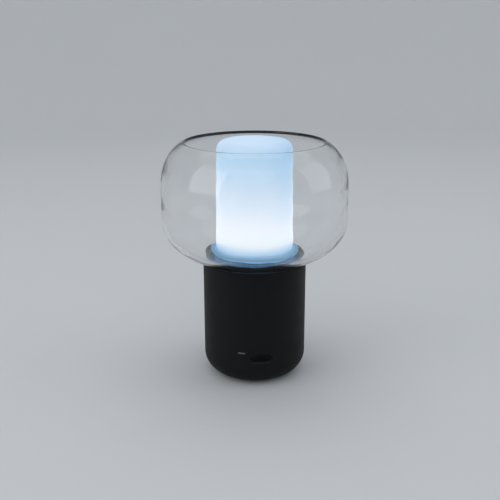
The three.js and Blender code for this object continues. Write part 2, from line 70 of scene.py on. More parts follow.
def mm(value):
    """Millimetres as metres."""
    return value * 0.001


def span(node):
    """A turned CAD node's outer radius, lowest and highest height."""
    low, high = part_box(node)
    return (high.x - low.x) / 2, low.z, high.z


def middle(node):
    """The centre of a CAD node's box."""
    low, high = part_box(node)
    return (low + high) / 2


def light_colour(red, green, blue):
    """A display colour from 0 to 255 as linear light."""
    share = np.array([red, green, blue]) / 255
    return tuple(np.where(share <= 0.04045, share / 12.92, ((share + 0.055) / 1.055) ** 2.4))


SHADE_R, SHADE_FOOT, SHADE_TOP = span("glass_shade")
DIFFUSER_TOP = span("opal_diffuser")[2]
BASE_R, BASE_FOOT, BASE_TOP = span("housing_shell")
DECK_R, DECK_FOOT, COLLAR_TOP = span("top_deck")
FOOT_R, TABLE, FOOT_TOP = span("foot_ring")
BASE_WALL = mm(2.8)
GLASS_WALL = mm(4.5)
BOWL_TOP = mm(155)
BOWL_CENTRE_R = mm(14)  # where the bowl's quarter ellipse is centred
BOWL_DEPTH = mm(43.3)
SHOULDER_FOOT = mm(190)
GLASS_HOLE_R = mm(37)
TUBE_FOOT_R = mm(37.3)
TUBE_TOP_R = mm(35.9)  # drawn in by the mould's draft
TUBE_WALL = mm(2.8)
FLANGE_FOOT = mm(121.9)
FLANGE_TOP = mm(124.1)
DECK_TOP = mm(111.5)
COLLAR_R = mm(30.6)
COLLAR_BORE_R = mm(28.2)
BUTTON_HOLE = (mm(10.42), mm(4.67))  # half the width and half the height of an opening
LIGHT_HOLE = (mm(3.55), mm(0.8))
PORT_HOLE = (mm(4.85), mm(2.05))
TURNED = 192  # columns round a turned piece


# ---- settings ----------------------------------------------------------------------------------


class ShadeSettings(PropertyGroup):
    """The blown glass."""

    wave: FloatProperty(
        name="Wave", description="How far the blown wall wanders", default=mm(0.28), unit="LENGTH"
    )
    tint: FloatVectorProperty(
        name="Tint", description="The glass's tint", default=(0.955, 0.965, 0.97), subtype="COLOR"
    )
    film: FloatProperty(
        name="Film", description="Roughness of the handled patches", default=0.035, subtype="FACTOR"
    )


class DiffuserSettings(PropertyGroup):
    """The lit opal tube."""

    glow: FloatProperty(name="Glow", description="Brightness of the lit wall", default=0.95)
    opal: FloatVectorProperty(
        name="Opal", description="The unlit wall's own colour", default=(0.2, 0.215, 0.23), subtype="COLOR"
    )


class BaseSettings(PropertyGroup):
    """The black housing and its button."""

    shell: FloatVectorProperty(
        name="Shell",
        description="Colour of the soft-touch shell",
        default=(0.0045, 0.005, 0.006),
        subtype="COLOR",
    )
    grain: FloatProperty(
        name="Grain", description="Size of the moulded texture's pips", default=mm(0.35), unit="LENGTH"
    )
    rounding: FloatProperty(
        name="Rounding", description="Radius of the openings' edges", default=mm(0.5), unit="LENGTH"
    )


class StageSettings(PropertyGroup):
    """Floor, lights and camera."""

    floor: FloatVectorProperty(
        name="Floor", description="Colour of the floor", default=(0.66, 0.675, 0.69), subtype="COLOR"
    )
    key: FloatProperty(
        name="Key", description="Power of the large soft light at the left", default=6.5, unit="POWER"
    )
    distance: FloatProperty(
        name="Distance",
        description="From the lamp's axis to the camera, along the table",
        default=0.729,
        unit="LENGTH",
    )
    height: FloatProperty(
        name="Height", description="Height of the camera over the table", default=0.3494, unit="LENGTH"
    )
    turn: FloatProperty(
        name="Turn",
        description="How far the camera stands to the left of the button's side",
        default=math.radians(7.4),
        subtype="ANGLE",
    )


# ---- surfaces ----------------------------------------------------------------------------------


def arc(centre_r, centre_z, a, b, start, end, count):
    """Points on an ellipse: the centre, plus a times the angle's cosine across and b times its sine up."""
    t = np.radians(np.linspace(start, end, count))
    return np.column_stack([centre_r + a * np.cos(t), centre_z + b * np.sin(t)])


def outline(*parts):
    """Arcs and single points joined into one (radius, height) profile."""
    return np.vstack([np.atleast_2d(np.asarray(p, float)) for p in parts])


def rounded(profile, radius, steps=4, closed=True):
    """A profile with its corners rounded.

    Each corner gives way to the quadratic curve between two points on its sides, with the corner as its handle.
    The points lie a radius away, or a third of a short side.
    """
    points = np.asarray(profile, float)
    before = np.roll(points, 1, axis=0) - points
    after = np.roll(points, -1, axis=0) - points
    sides = (np.maximum(np.linalg.norm(v, axis=1), 1e-9)[:, None] for v in (before, after))
    to_start, to_end = (np.minimum(radius / side, 0.34) for side in sides)
    start, end = points + before * to_start, points + after * to_end
    t = np.linspace(0, 1, steps)[None, :, None]
    curves = (1 - t) ** 2 * start[:, None] + 2 * t * (1 - t) * points[:, None] + t**2 * end[:, None]
    if not closed:
        curves[0] = points[0]
        curves[-1] = points[-1]
    return curves.reshape(-1, 2)


def revolve(profile, columns=TURNED):
    """Rings of a profile turned about Z: x is the radius times the turn's sine, y less it times its cosine."""
    turn = np.linspace(0, 2 * np.pi, columns, endpoint=False)
    r, z = profile[:, :1], profile[:, 1:]
    return np.stack([r * np.sin(turn), -r * np.cos(turn), z + 0 * turn], axis=-1)


def pill(angle, half_width, half_height):
    """Where a ray at each angle leaves a pill outline, and the outline's normal there.

    A ray meets the straight sides at half the height over its sine, and the round ends on their own circle.
    """
    c, s = np.cos(angle), np.sin(angle)
    straight = half_width - half_height
    flat = half_height / np.maximum(np.abs(s), 1e-9)
    under = np.maximum(half_height**2 - (straight * s) ** 2, 0)
    reach = np.where(flat * np.abs(c) <= straight, flat, straight * np.abs(c) + np.sqrt(under))
    x, z = reach * c, reach * s
    nx = x - np.clip(x, -straight, straight)
    length = np.maximum(np.hypot(nx, z), 1e-12)
    return x, z, nx / length, z / length


def even_pill(half_width, half_height, count):
    """A pill's points and normals at even steps along its edge, from rays at the angles of those points."""
    fine = np.linspace(0, 2 * np.pi, 4096)
    x, z, _, _ = pill(fine, half_width, half_height)
    walked = np.concatenate([[0], np.cumsum(np.hypot(np.diff(x), np.diff(z)))])
    angle = np.interp(np.linspace(0, walked[-1], count, endpoint=False), walked, fine)
    return pill(angle, half_width, half_height)


def ring_faces(rows, columns, first, closed):
    """Quads between neighbouring rings of a grid whose columns wrap, and whose rows wrap when closed."""
    i, j = np.meshgrid(np.arange(rows if closed else rows - 1), np.arange(columns), indexing="ij")
    below, above = i % rows, (i + 1) % rows
    right = (j + 1) % columns
    below, above = below * columns, above * columns
    return np.stack([below + j, below + right, above + right, above + j], axis=-1).reshape(-1, 4) + first


def cap_faces(ring, centre):
    """Triangles from a ring of vertex numbers to a centre vertex."""
    return [(int(a), int(b), centre) for a, b in zip(ring, np.roll(ring, -1))]


class Solid:
    """Grids of rings gathered into one mesh."""

    def __init__(self):
        self.points = []
        self.quads = []
        self.caps = []
        self.count = 0

    def add(self, rings, closed=False, start_cap=False, end_cap=False, keep=None):
        """Adds rings (rows, columns, 3). keep marks the quads that stay; a cap closes an end ring."""
        rows, columns = rings.shape[:2]
        quads = ring_faces(rows, columns, self.count, closed)
        self.quads.append(quads if keep is None else quads[keep.reshape(-1)])
        self.points.append(rings.reshape(-1, 3))
        for wanted, row in ((start_cap, 0), (end_cap, rows - 1)):
            if wanted:
                ring = self.count + row * columns + np.arange(columns)
                centre = self.count + rows * columns + (len(self.points[-1]) - rows * columns)
                self.points[-1] = np.vstack([self.points[-1], rings[row].mean(axis=0)])
                self.caps += cap_faces(ring, centre)
        self.count += len(self.points[-1])
        return self

    def piece(self, name):
        """The gathered grids as an object, with seams merged, strays removed and faces pointing out."""
        mesh = bpy.data.meshes.new(name)
        quads = np.vstack(self.quads).tolist()
        mesh.from_pydata(np.vstack(self.points).tolist(), [], quads + self.caps)
        made = bmesh.new()
        made.from_mesh(mesh)
        bmesh.ops.remove_doubles(made, verts=made.verts, dist=2e-7)
        strays = [v for v in made.verts if not v.link_faces]
        bmesh.ops.delete(made, geom=strays, context="VERTS")
        bmesh.ops.recalc_face_normals(made, faces=made.faces)
        made.to_mesh(mesh)
        made.free()
        mesh.shade_smooth()
        piece = bpy.data.objects.new(name, mesh)
        bpy.context.scene.collection.objects.link(piece)
        return piece


def turned(name, profile, columns=TURNED, closed=True):
    """A turned piece from a closed profile, or from an open one whose ends lie on the axis."""
    return Solid().add(revolve(profile, columns), closed=closed).piece(name)


def capped(name, rings):
    """A piece from rings, with its first and last ring closed."""
    return Solid().add(np.asarray(rings), start_cap=True, end_cap=True).piece(name)


def crisp(piece, degrees=35):
    """Smooth shading that breaks at edges sharper than the angle."""
    piece.data.shade_smooth()
    piece.data.set_sharp_from_angle(angle=math.radians(degrees))
    return piece


def bored(piece, cutters):
    """The piece with each cutter's space taken out of it, and the cutters thrown away."""
    for cutter in cutters:
        cut = piece.modifiers.new("bore", "BOOLEAN")
        cut.operation = "DIFFERENCE"
        cut.solver = "EXACT"
        cut.object = cutter
    bpy.context.view_layer.update()
    made = bpy.data.meshes.new_from_object(piece.evaluated_get(bpy.context.evaluated_depsgraph_get()))
    piece.modifiers.clear()
    piece.data = made
    for cutter in cutters:
        bpy.data.objects.remove(cutter)
    return crisp(piece)


def spread(x, y, z):
    """Points from their coordinates, with a single number repeated."""
    return np.stack(np.broadcast_arrays(x, y, z), axis=-1)


def quarter(radius, count):
    """How far out and how deep a rounded edge lies, at even steps of its quarter circle."""
    t = np.radians(np.linspace(0, 90, count)[1:])
    return zip(radius * (1 - np.sin(t)), radius * (1 - np.cos(t)))


def screw_seats(kind, profile):
    """Cutters of a turned profile, one at each of a kind's three screws."""
    seats = []
    for number in (1, 2, 3):
        at = middle(f"{kind}_{number}")
        rings = revolve(profile, 48) + np.array([at.x, at.y, 0])
        seats.append(Solid().add(rings).piece(f"{kind}_cutter_{number}"))
    return seats


def finish_piece(piece, body, slot, *nodes, finish=None):
    """Puts a piece under its body, gives it the slot's or a named finish when it has none, and hides the CAD
    nodes it stands for.
    """
    if not piece.data.materials:
        piece.data.materials.append(FINISHES[finish or slot])
    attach(piece, body)
    if nodes:
        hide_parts(*nodes)


# ---- shared shader groups ----------------------------------------------------------------------


class Nodes:
    """A short way to write a node tree."""

    def __init__(self, tree):
        self.tree = tree

    def add(self, kind, inputs=None, **settings):
        """A node with its settings, and its inputs set to values or linked to sockets."""
        node = self.tree.nodes.new(kind)
        for key, value in settings.items():
            setattr(node, key, value)
        for key, value in (inputs or {}).items():
            if isinstance(value, bpy.types.NodeSocket):
                self.tree.links.new(value, node.inputs[key])
            else:
                node.inputs[key].default_value = value
        return node

    def link(self, source, target):
        """A link from one socket to another."""
        self.tree.links.new(source, target)

    def math(self, operation, a, b=0.0, clamp=False):
        """One step of arithmetic."""
        return self.add("ShaderNodeMath", {0: a, 1: b}, operation=operation, use_clamp=clamp).outputs[0]

    def times(self, a, b):
        """A product."""
        return self.math("MULTIPLY", a, b)

    def plus(self, a, b):
        """A sum."""
        return self.math("ADD", a, b)

    def minus(self, a, b):
        """A difference."""
        return self.math("SUBTRACT", a, b)

    def between(self, value, low, high, to_low=0.0, to_high=1.0):
        """A value carried smoothly from one range to another."""
        inputs = {"Value": value, "From Min": low, "From Max": high, "To Min": to_low, "To Max": to_high}
        return self.add("ShaderNodeMapRange", inputs, interpolation_type="SMOOTHSTEP").outputs[0]

    def blend(self, factor, a, b):
        """A colour between two colours."""
        node = self.add("ShaderNodeMix", data_type="RGBA")
        for socket, value in zip((node.inputs[0], node.inputs[6], node.inputs[7]), (factor, a, b)):
            if isinstance(value, bpy.types.NodeSocket):
                self.link(value, socket)
            else:
                socket.default_value = value if np.isscalar(value) else (*value[:3], 1)
        return node.outputs[2]

    def place(self):
        """Object coordinates."""
        return self.add("ShaderNodeTexCoord").outputs["Object"]

    def stretched(self, vector, scale):
        """A vector with its z scaled."""
        return self.add("ShaderNodeMapping", {"Vector": vector, "Scale": (1, 1, scale)}).outputs[0]

    def axes(self):
        """The x, y and z of Object coordinates."""
        return self.add("ShaderNodeSeparateXYZ", {0: self.place()}).outputs

    def hypot(self, a, b):
        """The root of the sum of two squares."""
        return self.math("SQRT", self.plus(self.times(a, a), self.times(b, b)))

    def noise(self, vector, scale, detail=2.0, roughness=0.5):
        """Noise from 0 to 1."""
        inputs = {"Vector": vector, "Scale": scale, "Detail": detail, "Roughness": roughness}
        return self.add("ShaderNodeTexNoise", inputs).outputs[0]


def group(name, inputs, outputs):
    """An empty node group with named float inputs, given with their defaults, and named float outputs."""
    tree = bpy.data.node_groups.new(name, "ShaderNodeTree")
    for label, value in inputs.items():
        socket = tree.interface.new_socket(label, in_out="INPUT", socket_type="NodeSocketFloat")
        socket.default_value = value
    for label in outputs:
        tree.interface.new_socket(label, in_out="OUTPUT", socket_type="NodeSocketFloat")
    nodes = Nodes(tree)
    entry = nodes.add("NodeGroupInput")
    leave = nodes.add("NodeGroupOutput")
    return nodes, entry.outputs, leave.inputs


def moulded_grain():
    """Fine pips of a moulded surface: a height, and a slow mottle for roughness."""
    n, given, result = group("moulded_grain", {"Scale": 3000.0, "Depth": 1.0}, ("Height", "Mottle"))
    place = n.place()
    pips = n.noise(place, given["Scale"], 3.0, 0.6)
    n.link(n.times(pips, given["Depth"]), result["Height"])
    n.link(n.noise(place, 55.0, 4.0, 0.65), result["Mottle"])
    return n.tree


def handled_film():
    """Patches where a surface has been handled: a mask from 0, clean, to 1."""
    n, given, result = group("handled_film", {"Scale": 26.0, "Cover": 0.45}, ("Mask",))
    place = n.place()
    patches = n.noise(place, given["Scale"], 5.0, 0.6)
    streaks = n.noise(n.stretched(place, 0.25), 140.0, 3.0)
    spread = n.plus(n.times(patches, 0.8), n.times(streaks, 0.2))
    edge = n.minus(1.0, given["Cover"])
    n.link(n.between(spread, edge, n.plus(edge, 0.22)), result["Mask"])
    return n.tree


def settled_dust():
    """Dust that lies on faces that look up: a mask from 0 to 1."""
    n, given, result = group("settled_dust", {"Amount": 0.5}, ("Mask",))
    up = n.add("ShaderNodeSeparateXYZ", {0: n.add("ShaderNodeNewGeometry").outputs["Normal"]}).outputs[2]
    lying = n.between(up, 0.35, 0.95)
    specks = n.between(n.noise(n.place(), 900.0, 2.0), 0.5, 0.72)
    haze = n.between(n.noise(n.place(), 70.0, 4.0), 0.3, 0.8)
    patchy = n.plus(n.times(specks, 0.55), n.times(haze, 0.45))
    dust = n.math("MULTIPLY", n.times(lying, patchy), given["Amount"], clamp=True)
    n.link(dust, result["Mask"])
    return n.tree


def turned_lines():
    """Fine rings left by turning or brushing about Z: a height and a tone."""
    n, given, result = group("turned_lines", {"Pitch": 4000.0}, ("Height", "Tone"))
    x, y, z = n.axes()
    across = n.add("ShaderNodeCombineXYZ", {0: n.hypot(x, y), 1: n.times(x, 0.02), 2: z})
    lines = n.noise(across.outputs[0], given["Pitch"], 3.0, 0.7)
    n.link(lines, result["Height"])
    n.link(n.between(lines, 0.3, 0.7), result["Tone"])
    return n.tree


def painted_lip_highlight():
    """Painted highlight on the lower lip of a pill-shaped opening in the front or back: a mask from 0 to 1.

    The lip is a band at the pill's radius from its middle line. Side is -1 for the front, 1 for the back.
    """
    places = {"Centre X": 0.0, "Centre Z": 0.03, "Straight": 0.006, "Radius": 0.005, "Side": -1.0}
    n, given, result = group("painted_lip_highlight", places, ("Mask",))
    x, y, z = n.axes()
    across = n.math("ABSOLUTE", n.minus(x, given["Centre X"]))
    beyond = n.math("MAXIMUM", n.minus(across, given["Straight"]), 0.0)
    up = n.minus(z, given["Centre Z"])
    lip = n.plus(given["Radius"], mm(0.15))
    off_lip = n.math("ABSOLUTE", n.minus(n.hypot(beyond, up), lip))
    near = n.between(off_lip, mm(0.1), mm(0.5), 1.0, 0.0)
    lower = n.between(n.math("DIVIDE", up, given["Radius"]), -0.9, -0.3, 1.0, 0.0)
    facing = n.math("GREATER_THAN", n.times(y, given["Side"]), 0.0)
    # noise that breaks up the painted highlight along the lip
    highlight_breakup = n.between(n.noise(n.place(), 420.0, 2.0), 0.3, 0.6, 0.6, 1.0)
    below = n.times(near, lower)
    n.link(n.times(below, n.times(facing, highlight_breakup)), result["Mask"])
    return n.tree


def solder_mask():
    """A circuit board's tracks and pads under its mask: a height, and a mask of bare metal pads."""
    n, given, result = group("solder_mask", {"Pitch": 420.0}, ("Height", "Track", "Pad"))
    place = n.place()
    fine = {"Vector": place, "Scale": given["Pitch"], "Randomness": 0.35}
    cells = n.add("ShaderNodeTexVoronoi", fine, distance="CHEBYCHEV", feature="F1")
    wide = {"Vector": place, "Scale": n.times(given["Pitch"], 0.45), "Randomness": 0.6}
    edge = n.add("ShaderNodeTexVoronoi", wide, feature="DISTANCE_TO_EDGE")
    track = n.between(edge.outputs["Distance"], 0.035, 0.05, 1.0, 0.0)
    pad = n.between(cells.outputs["Distance"], 0.14, 0.17, 1.0, 0.0)
    n.link(n.math("MAXIMUM", track, pad), result["Height"])
    n.link(track, result["Track"])
    n.link(n.times(pad, n.between(n.noise(place, 160.0), 0.52, 0.55)), result["Pad"])
    return n.tree


# ---- materials ---------------------------------------------------------------------------------

SHARED = {}


def start(name, **plain):
    """A new material, its nodes and its Principled shader's inputs, with plain values set on them."""
    material = bpy.data.materials.new(name)
    material.use_nodes = True
    n = Nodes(material.node_tree)
    into = material.node_tree.nodes["Principled BSDF"].inputs
    for key, value in plain.items():
        socket = into[key.replace("_", " ")]
        socket.default_value = (*value[:3], 1) if socket.type == "RGBA" else value
    return material, n, into


def use(n, builder, **inputs):
    """A shared group, built once, placed in a material with its own values."""
    if builder not in SHARED:
        SHARED[builder] = builder()
    node = n.add("ShaderNodeGroup", node_tree=SHARED[builder])
    for key, value in inputs.items():
        node.inputs[key].default_value = value
    return node.outputs


def bump(n, into, height, distance, strength=1.0):
    """A Bump node that feeds the shader's normal."""
    node = n.add("ShaderNodeBump", {"Height": height, "Distance": distance, "Strength": strength})
    n.link(node.outputs[0], into["Normal"])


def blown_glass(settings):
    """Clear glass with a faint grey tint, slow ripples, drawn-out cords and handled patches."""
    material, n, into = start("blown_glass", IOR=1.5, Transmission_Weight=1.0)
    place = n.place()
    cords = n.noise(n.stretched(place, 2.6), 26.0, 2.0, 0.4)
    tint = tuple(settings.tint)
    n.link(n.blend(cords, tint, [1 - (1 - t) * 0.55 for t in tint]), into["Base Color"])
    film = use(n, handled_film, Scale=22.0, Cover=0.42)["Mask"]
    n.link(n.between(film, 0.0, 1.0, 0.0, settings.film), into["Roughness"])
    bump(n, into, n.plus(cords, n.times(n.noise(place, 70.0, 1.0), 0.12)), mm(0.5), 0.5)
    return material


# the lit wall's colour by height in millimetres: a dim flange, white over the foot, bluer towards the top
LIT_STEPS = [
    (118.6, 90, 140, 175), (120, 90, 140, 175), (121, 30, 105, 150), (122, 50, 115, 150),
    (127.5, 160, 200, 235), (136, 230, 240, 250), (142.5, 240, 250, 255), (154.5, 240, 245, 255),
    (217, 160, 200, 230), (231.5, 175, 200, 225),
]


def lit_opal(settings):
    """Opal plastic lit from below: white over the foot, bluer towards the top, dim at the flange, with painted
    shade down its right side.
    """
    material, n, into = start("lit_opal", IOR=1.49, Roughness=0.38, Emission_Strength=settings.glow)
    place = n.place()
    x, y, height = n.axes()
    onto_flange = n.math("MAXIMUM", n.minus(n.hypot(x, y), TUBE_FOOT_R), 0.0)
    along = n.minus(height, n.times(onto_flange, 0.55))
    ramp_node = n.add("ShaderNodeValToRGB")
    ramp = ramp_node.color_ramp
    low, high = mm(LIT_STEPS[0][0]), DIFFUSER_TOP
    while len(ramp.elements) < len(LIT_STEPS):
        ramp.elements.new(0.5)
    for element, (z, *colour) in zip(ramp.elements, LIT_STEPS):
        element.position = (mm(z) - low) / (high - low)
        element.color = (*light_colour(*colour), 1)
    cloud = n.times(n.minus(n.noise(place, 32.0, 3.0), 0.5), 0.035)
    share = n.add("ShaderNodeMapRange", {"Value": along, "From Min": low, "From Max": high}).outputs[0]
    settled = n.between(share, 0.05, 0.2)
    n.link(n.plus(share, n.times(cloud, settled)), ramp_node.inputs[0])
    # painted shade: the tube's right side (x above 0) darkened and made bluer, more towards the top
    painted_right_shade = n.times(n.between(x, 0, TUBE_FOOT_R), n.between(height, mm(130), mm(225), 0.15, 1))
    shaded = n.add("ShaderNodeMix", data_type="RGBA", blend_type="MULTIPLY")
    n.link(painted_right_shade, shaded.inputs[0])
    n.link(ramp_node.outputs[0], shaded.inputs[6])
    shaded.inputs[7].default_value = (0.76, 0.87, 0.95, 1)
    n.link(shaded.outputs[2], into["Emission Color"])
    opal = tuple(settings.opal)
    n.link(n.blend(n.noise(place, 240.0, 3.0), opal, [c * 0.93 for c in opal]), into["Base Color"])
    bump(n, into, n.noise(place, 900.0, 2.0), mm(0.02), 0.5)
    return material


def soft_touch(name, colour, grain_size, roughness=0.56, dust=0.2, openings=()):
    """Matt moulded plastic: fine pips, mottling, handled patches, a little dust and a painted highlight on the
    openings' lower lips.
    """
    material, n, into = start(name, IOR=1.4, Specular_IOR_Level=0.2)
    grain = use(n, moulded_grain, Scale=1 / grain_size, Depth=1.0)
    film = use(n, handled_film, Scale=30.0, Cover=0.4)["Mask"]
    rough = n.between(grain["Mottle"], 0.3, 0.7, roughness - 0.04, roughness + 0.05)
    n.link(n.minus(rough, n.times(film, 0.1)), into["Roughness"])
    lighter = [c * 1.35 + 0.001 for c in colour]
    body = n.blend(grain["Mottle"], colour, lighter)
    for centre, half_width, half_height, side in openings:
        place = {"Centre X": centre.x, "Centre Z": centre.z, "Side": side}
        # painted highlight: each opening's lower lip made lighter than the shell
        lip_highlight = use(n, painted_lip_highlight, Straight=half_width - half_height, Radius=half_height, **place)["Mask"]
        body = n.blend(lip_highlight, body, (0.02, 0.021, 0.022))
    lint = use(n, settled_dust, Amount=dust)["Mask"]
    n.link(n.blend(lint, body, (0.16, 0.16, 0.16)), into["Base Color"])
    bump(n, into, grain["Height"], mm(0.02), 0.6)
    return material


def silicone(name, colour):
    """Matt silicone rubber that holds dust."""
    material, n, into = start(name, IOR=1.42)
    grain = use(n, moulded_grain, Scale=1 / mm(0.6), Depth=0.6)
    n.link(n.between(grain["Mottle"], 0.3, 0.7, 0.68, 0.84), into["Roughness"])
    lint = use(n, settled_dust, Amount=0.7)["Mask"]
    n.link(n.blend(lint, colour, (0.2, 0.2, 0.19)), into["Base Color"])
    bump(n, into, grain["Height"], mm(0.03), 0.4)
    return material


def metal(name, colour, roughness, pitch=4000.0, depth=0.01):
    """Turned or plated metal, with fine lines and uneven gloss."""
    material, n, into = start(name, Metallic=1.0)
    lines = use(n, turned_lines, Pitch=pitch)
    film = use(n, handled_film, Scale=60.0, Cover=0.5)["Mask"]
    tone = n.blend(lines["Tone"], [c * 0.82 for c in colour], colour)
    n.link(tone, into["Base Color"])
    rough = n.plus(n.times(film, 0.1), n.times(lines["Tone"], 0.08))
    n.link(n.plus(rough, roughness - 0.05), into["Roughness"])
    bump(n, into, lines["Height"], mm(depth), 0.5)
    return material


def circuit_board(name, mask_colour, track_colour):
    """Solder mask over raised tracks, with a few bare pads."""
    material, n, into = start(name, IOR=1.5, Roughness=0.35)
    board = use(n, solder_mask, Pitch=420.0)
    masked = n.blend(board["Track"], mask_colour, track_colour)
    n.link(n.blend(board["Pad"], masked, (0.75, 0.6, 0.35)), into["Base Color"])
    n.link(n.between(board["Pad"], 0, 1, 0.38, 0.22), into["Roughness"])
    bump(n, into, board["Height"], mm(0.04), 0.7)
    return material


def moulded(name, colour, roughness, grain_size=mm(0.5), **plain):
    """Moulded plastic or resin with a faint grain and mottling."""
    material, n, into = start(name, IOR=1.48, **plain)
    grain = use(n, moulded_grain, Scale=1 / grain_size, Depth=0.5)
    n.link(n.blend(grain["Mottle"], [c * 0.9 for c in colour], colour), into["Base Color"])
    rough = n.between(grain["Mottle"], 0.3, 0.7, roughness - 0.05, roughness + 0.05)
    n.link(rough, into["Roughness"])
    bump(n, into, grain["Height"], mm(0.015), 0.5)
    return material


def cell_sleeve():
    """Heat-shrink sleeve with streaky creases in its colour, gloss and surface."""
    material, n, into = start("cell_sleeve", IOR=1.5, Coat_Weight=0.3)
    crease = n.noise(n.stretched(n.place(), 0.2), 300.0, 3.0)
    n.link(n.blend(crease, (0.03, 0.12, 0.3), (0.06, 0.2, 0.42)), into["Base Color"])
    n.link(n.between(crease, 0.3, 0.7, 0.28, 0.4), into["Roughness"])
    bump(n, into, crease, mm(0.08), 0.5)
    return material


def lit_silicone():
    """Milky silicone round the lit neck: its lip on the glass carries a painted glow that stands in for the
    diffuser's light.
    """
    material, n, into = start("milky_silicone", IOR=1.42, Emission_Strength=1.0)
    place = n.place()
    height = n.axes()[2]
    cloud = n.times(n.minus(n.noise(place, 90.0, 3.0), 0.5), mm(2))
    # painted glow: emission on the grommet above the glass, none on its neck below
    lip = n.between(n.plus(height, n.times(cloud, 0.1)), mm(118.4), mm(118.9))
    n.link(n.blend(lip, (0, 0, 0), light_colour(104, 166, 220)), into["Emission Color"])
    milk = n.blend(n.noise(place, 300.0), (0.3, 0.33, 0.36), (0.36, 0.39, 0.42))
    n.link(milk, into["Base Color"])
    n.link(n.between(cloud, -mm(1), mm(1), 0.4, 0.55), into["Roughness"])
    return material


def lit_gel():
    """Phosphor gel over a lit chip."""
    material, n, into = start("lit_gel", IOR=1.45, Emission_Strength=2.4)
    speck = n.noise(n.place(), 2500.0, 2.0)
    n.link(n.blend(speck, (0.75, 0.62, 0.2), (0.85, 0.75, 0.35)), into["Base Color"])
    n.link(n.blend(speck, (0.75, 0.88, 1.0), (0.9, 0.96, 1.0)), into["Emission Color"])
    n.link(n.between(speck, 0.3, 0.7, 0.2, 0.34), into["Roughness"])
    return material


def light_guide():
    """Translucent white plastic, lit softly from behind."""
    material, n, into = start("light_guide", IOR=1.49, Emission_Strength=0.04)
    cloud = n.noise(n.place(), 600.0, 2.0)
    n.link(n.blend(cloud, (0.07, 0.073, 0.077), (0.1, 0.104, 0.11)), into["Base Color"])
    n.link(n.blend(cloud, (0.62, 0.66, 0.7), (0.8, 0.84, 0.88)), into["Emission Color"])
    n.link(n.between(cloud, 0.3, 0.7, 0.25, 0.36), into["Roughness"])
    return material


SHELL_OPENINGS = (
    (middle("control_button"), *BUTTON_HOLE, -1.0),
    (middle("usb_port"), *PORT_HOLE, 1.0),
)


def make_finishes(scene):
    """Every material, by the record's slot name."""
    base = scene.lamp_base
    return {
        "clear_glass": blown_glass(scene.lamp_shade),
        "opal_plastic": lit_opal(scene.lamp_diffuser),
        "black_shell": soft_touch("soft_touch_shell", base.shell[:], base.grain, openings=SHELL_OPENINGS),
        "black_plastic": soft_touch("black_moulding", (0.016, 0.0165, 0.018), mm(0.5), 0.58, 0.5),
        "silicone": silicone("dark_silicone", (0.022, 0.023, 0.025)),
        "milky_silicone": lit_silicone(),
        "white_plastic": moulded("white_moulding", (0.8, 0.8, 0.77), 0.42),
        "aluminium": metal("satin_aluminium", (0.72, 0.73, 0.75), 0.32),
        "steel": metal("zinc_steel", (0.5, 0.51, 0.52), 0.34, 6000.0),
        "nickel": metal("nickel_plate", (0.62, 0.6, 0.55), 0.24, 9000.0, 0.004),
        "green_board": circuit_board("green_board", (0.012, 0.09, 0.04), (0.02, 0.14, 0.06)),
        "white_board": circuit_board("white_board", (0.78, 0.78, 0.76), (0.68, 0.69, 0.68)),
        "cell_wrap": cell_sleeve(),
        "black_epoxy": moulded("black_epoxy", (0.02, 0.02, 0.022), 0.5, mm(0.2)),
        "phosphor": lit_gel(),
        "light_pipe": light_guide(),
        "red_lead": moulded("red_sleeve", (0.42, 0.03, 0.025), 0.45, mm(0.8)),
    }


FINISHES = {}


# ---- operators ---------------------------------------------------------------------------------


class LAMP_OT_finishes(Operator):
    """Makes every material and gives each CAD node the one that its slot names"""

    bl_idname = "lamp.finishes"
    bl_label = "Finishes"

    def execute(self, context):
        FINISHES.update(make_finishes(context.scene))
        for part in frame["record"]["subparts"]:
            materials = frame["nodes"][part["node"]].data.materials
            materials.clear()
            materials.append(FINISHES[part["material_slot"]])
        return {"FINISHED"}


def shade_face(inset, last_angle, thinning=0.0):
    """One face of the shade's wall, from the bowl's hole up to the rim, inset from the outside.

    The bowl is a quarter ellipse about a small radius, the wall is straight, the shoulder is an ellipse.
    Over the shoulder the inset shrinks with the square of the angle, by the thinning share at the rim.
    """
    shoulder_width, shoulder_height = mm(31.6), mm(42.3)
    a = SHADE_R - inset - BOWL_CENTRE_R
    first = -math.degrees(math.acos((GLASS_HOLE_R - BOWL_CENTRE_R) / a))
    share = np.linspace(0, 1, 30)
    left = inset * (1 - thinning * share**2)
    angle = np.radians(last_angle) * share
    shoulder = [
        SHADE_R - shoulder_width + (shoulder_width - left) * np.cos(angle),
        SHOULDER_FOOT + (shoulder_height - left) * np.sin(angle),
    ]
    return outline(
        arc(BOWL_CENTRE_R, BOWL_TOP, a, BOWL_DEPTH - inset, first, 0, 34),
        np.linspace((SHADE_R - inset, BOWL_TOP), (SHADE_R - inset, SHOULDER_FOOT), 9)[1:-1],
        np.column_stack(shoulder),
    )


def bead(start_point, end_point, away, count=7):
    """A round edge from one point to another: half an ellipse that bulges towards away."""
    middle_point = (start_point + end_point) / 2
    half = (start_point - end_point) / 2
    out = away * np.linalg.norm(half) * 0.9
    t = np.linspace(0, np.pi, count + 2)[1:-1, None]
    return middle_point + half * np.cos(t) + out * np.sin(t)


def blown_wave(rings, depth, phase):
    """Rings pushed in by up to the depth, by the mean of five sines of the turn and the height."""
    x, y, z = np.moveaxis(rings, -1, 0)
    turn = np.arctan2(y, x)
    rise = (z - SHADE_FOOT) / (SHADE_TOP - SHADE_FOOT)
    waves = [(1, 1.1, 0.2), (2, 3.1, 1.4), (3, -5.2, 2.9), (5, 7.4, 4.1), (7, -11.0, 5.3)]
    total = sum(np.sin(k * turn + m * rise * np.pi + p + phase) for k, m, p in waves) / len(waves)
    fade = np.clip(np.minimum(rise, 1 - rise) * 9, 0, 1)
    push = depth * (1 + total) / 2 * fade * fade * (3 - 2 * fade)
    scale = 1 - push / np.hypot(x, y)
    return np.stack([x * scale, y * scale, z], axis=-1)


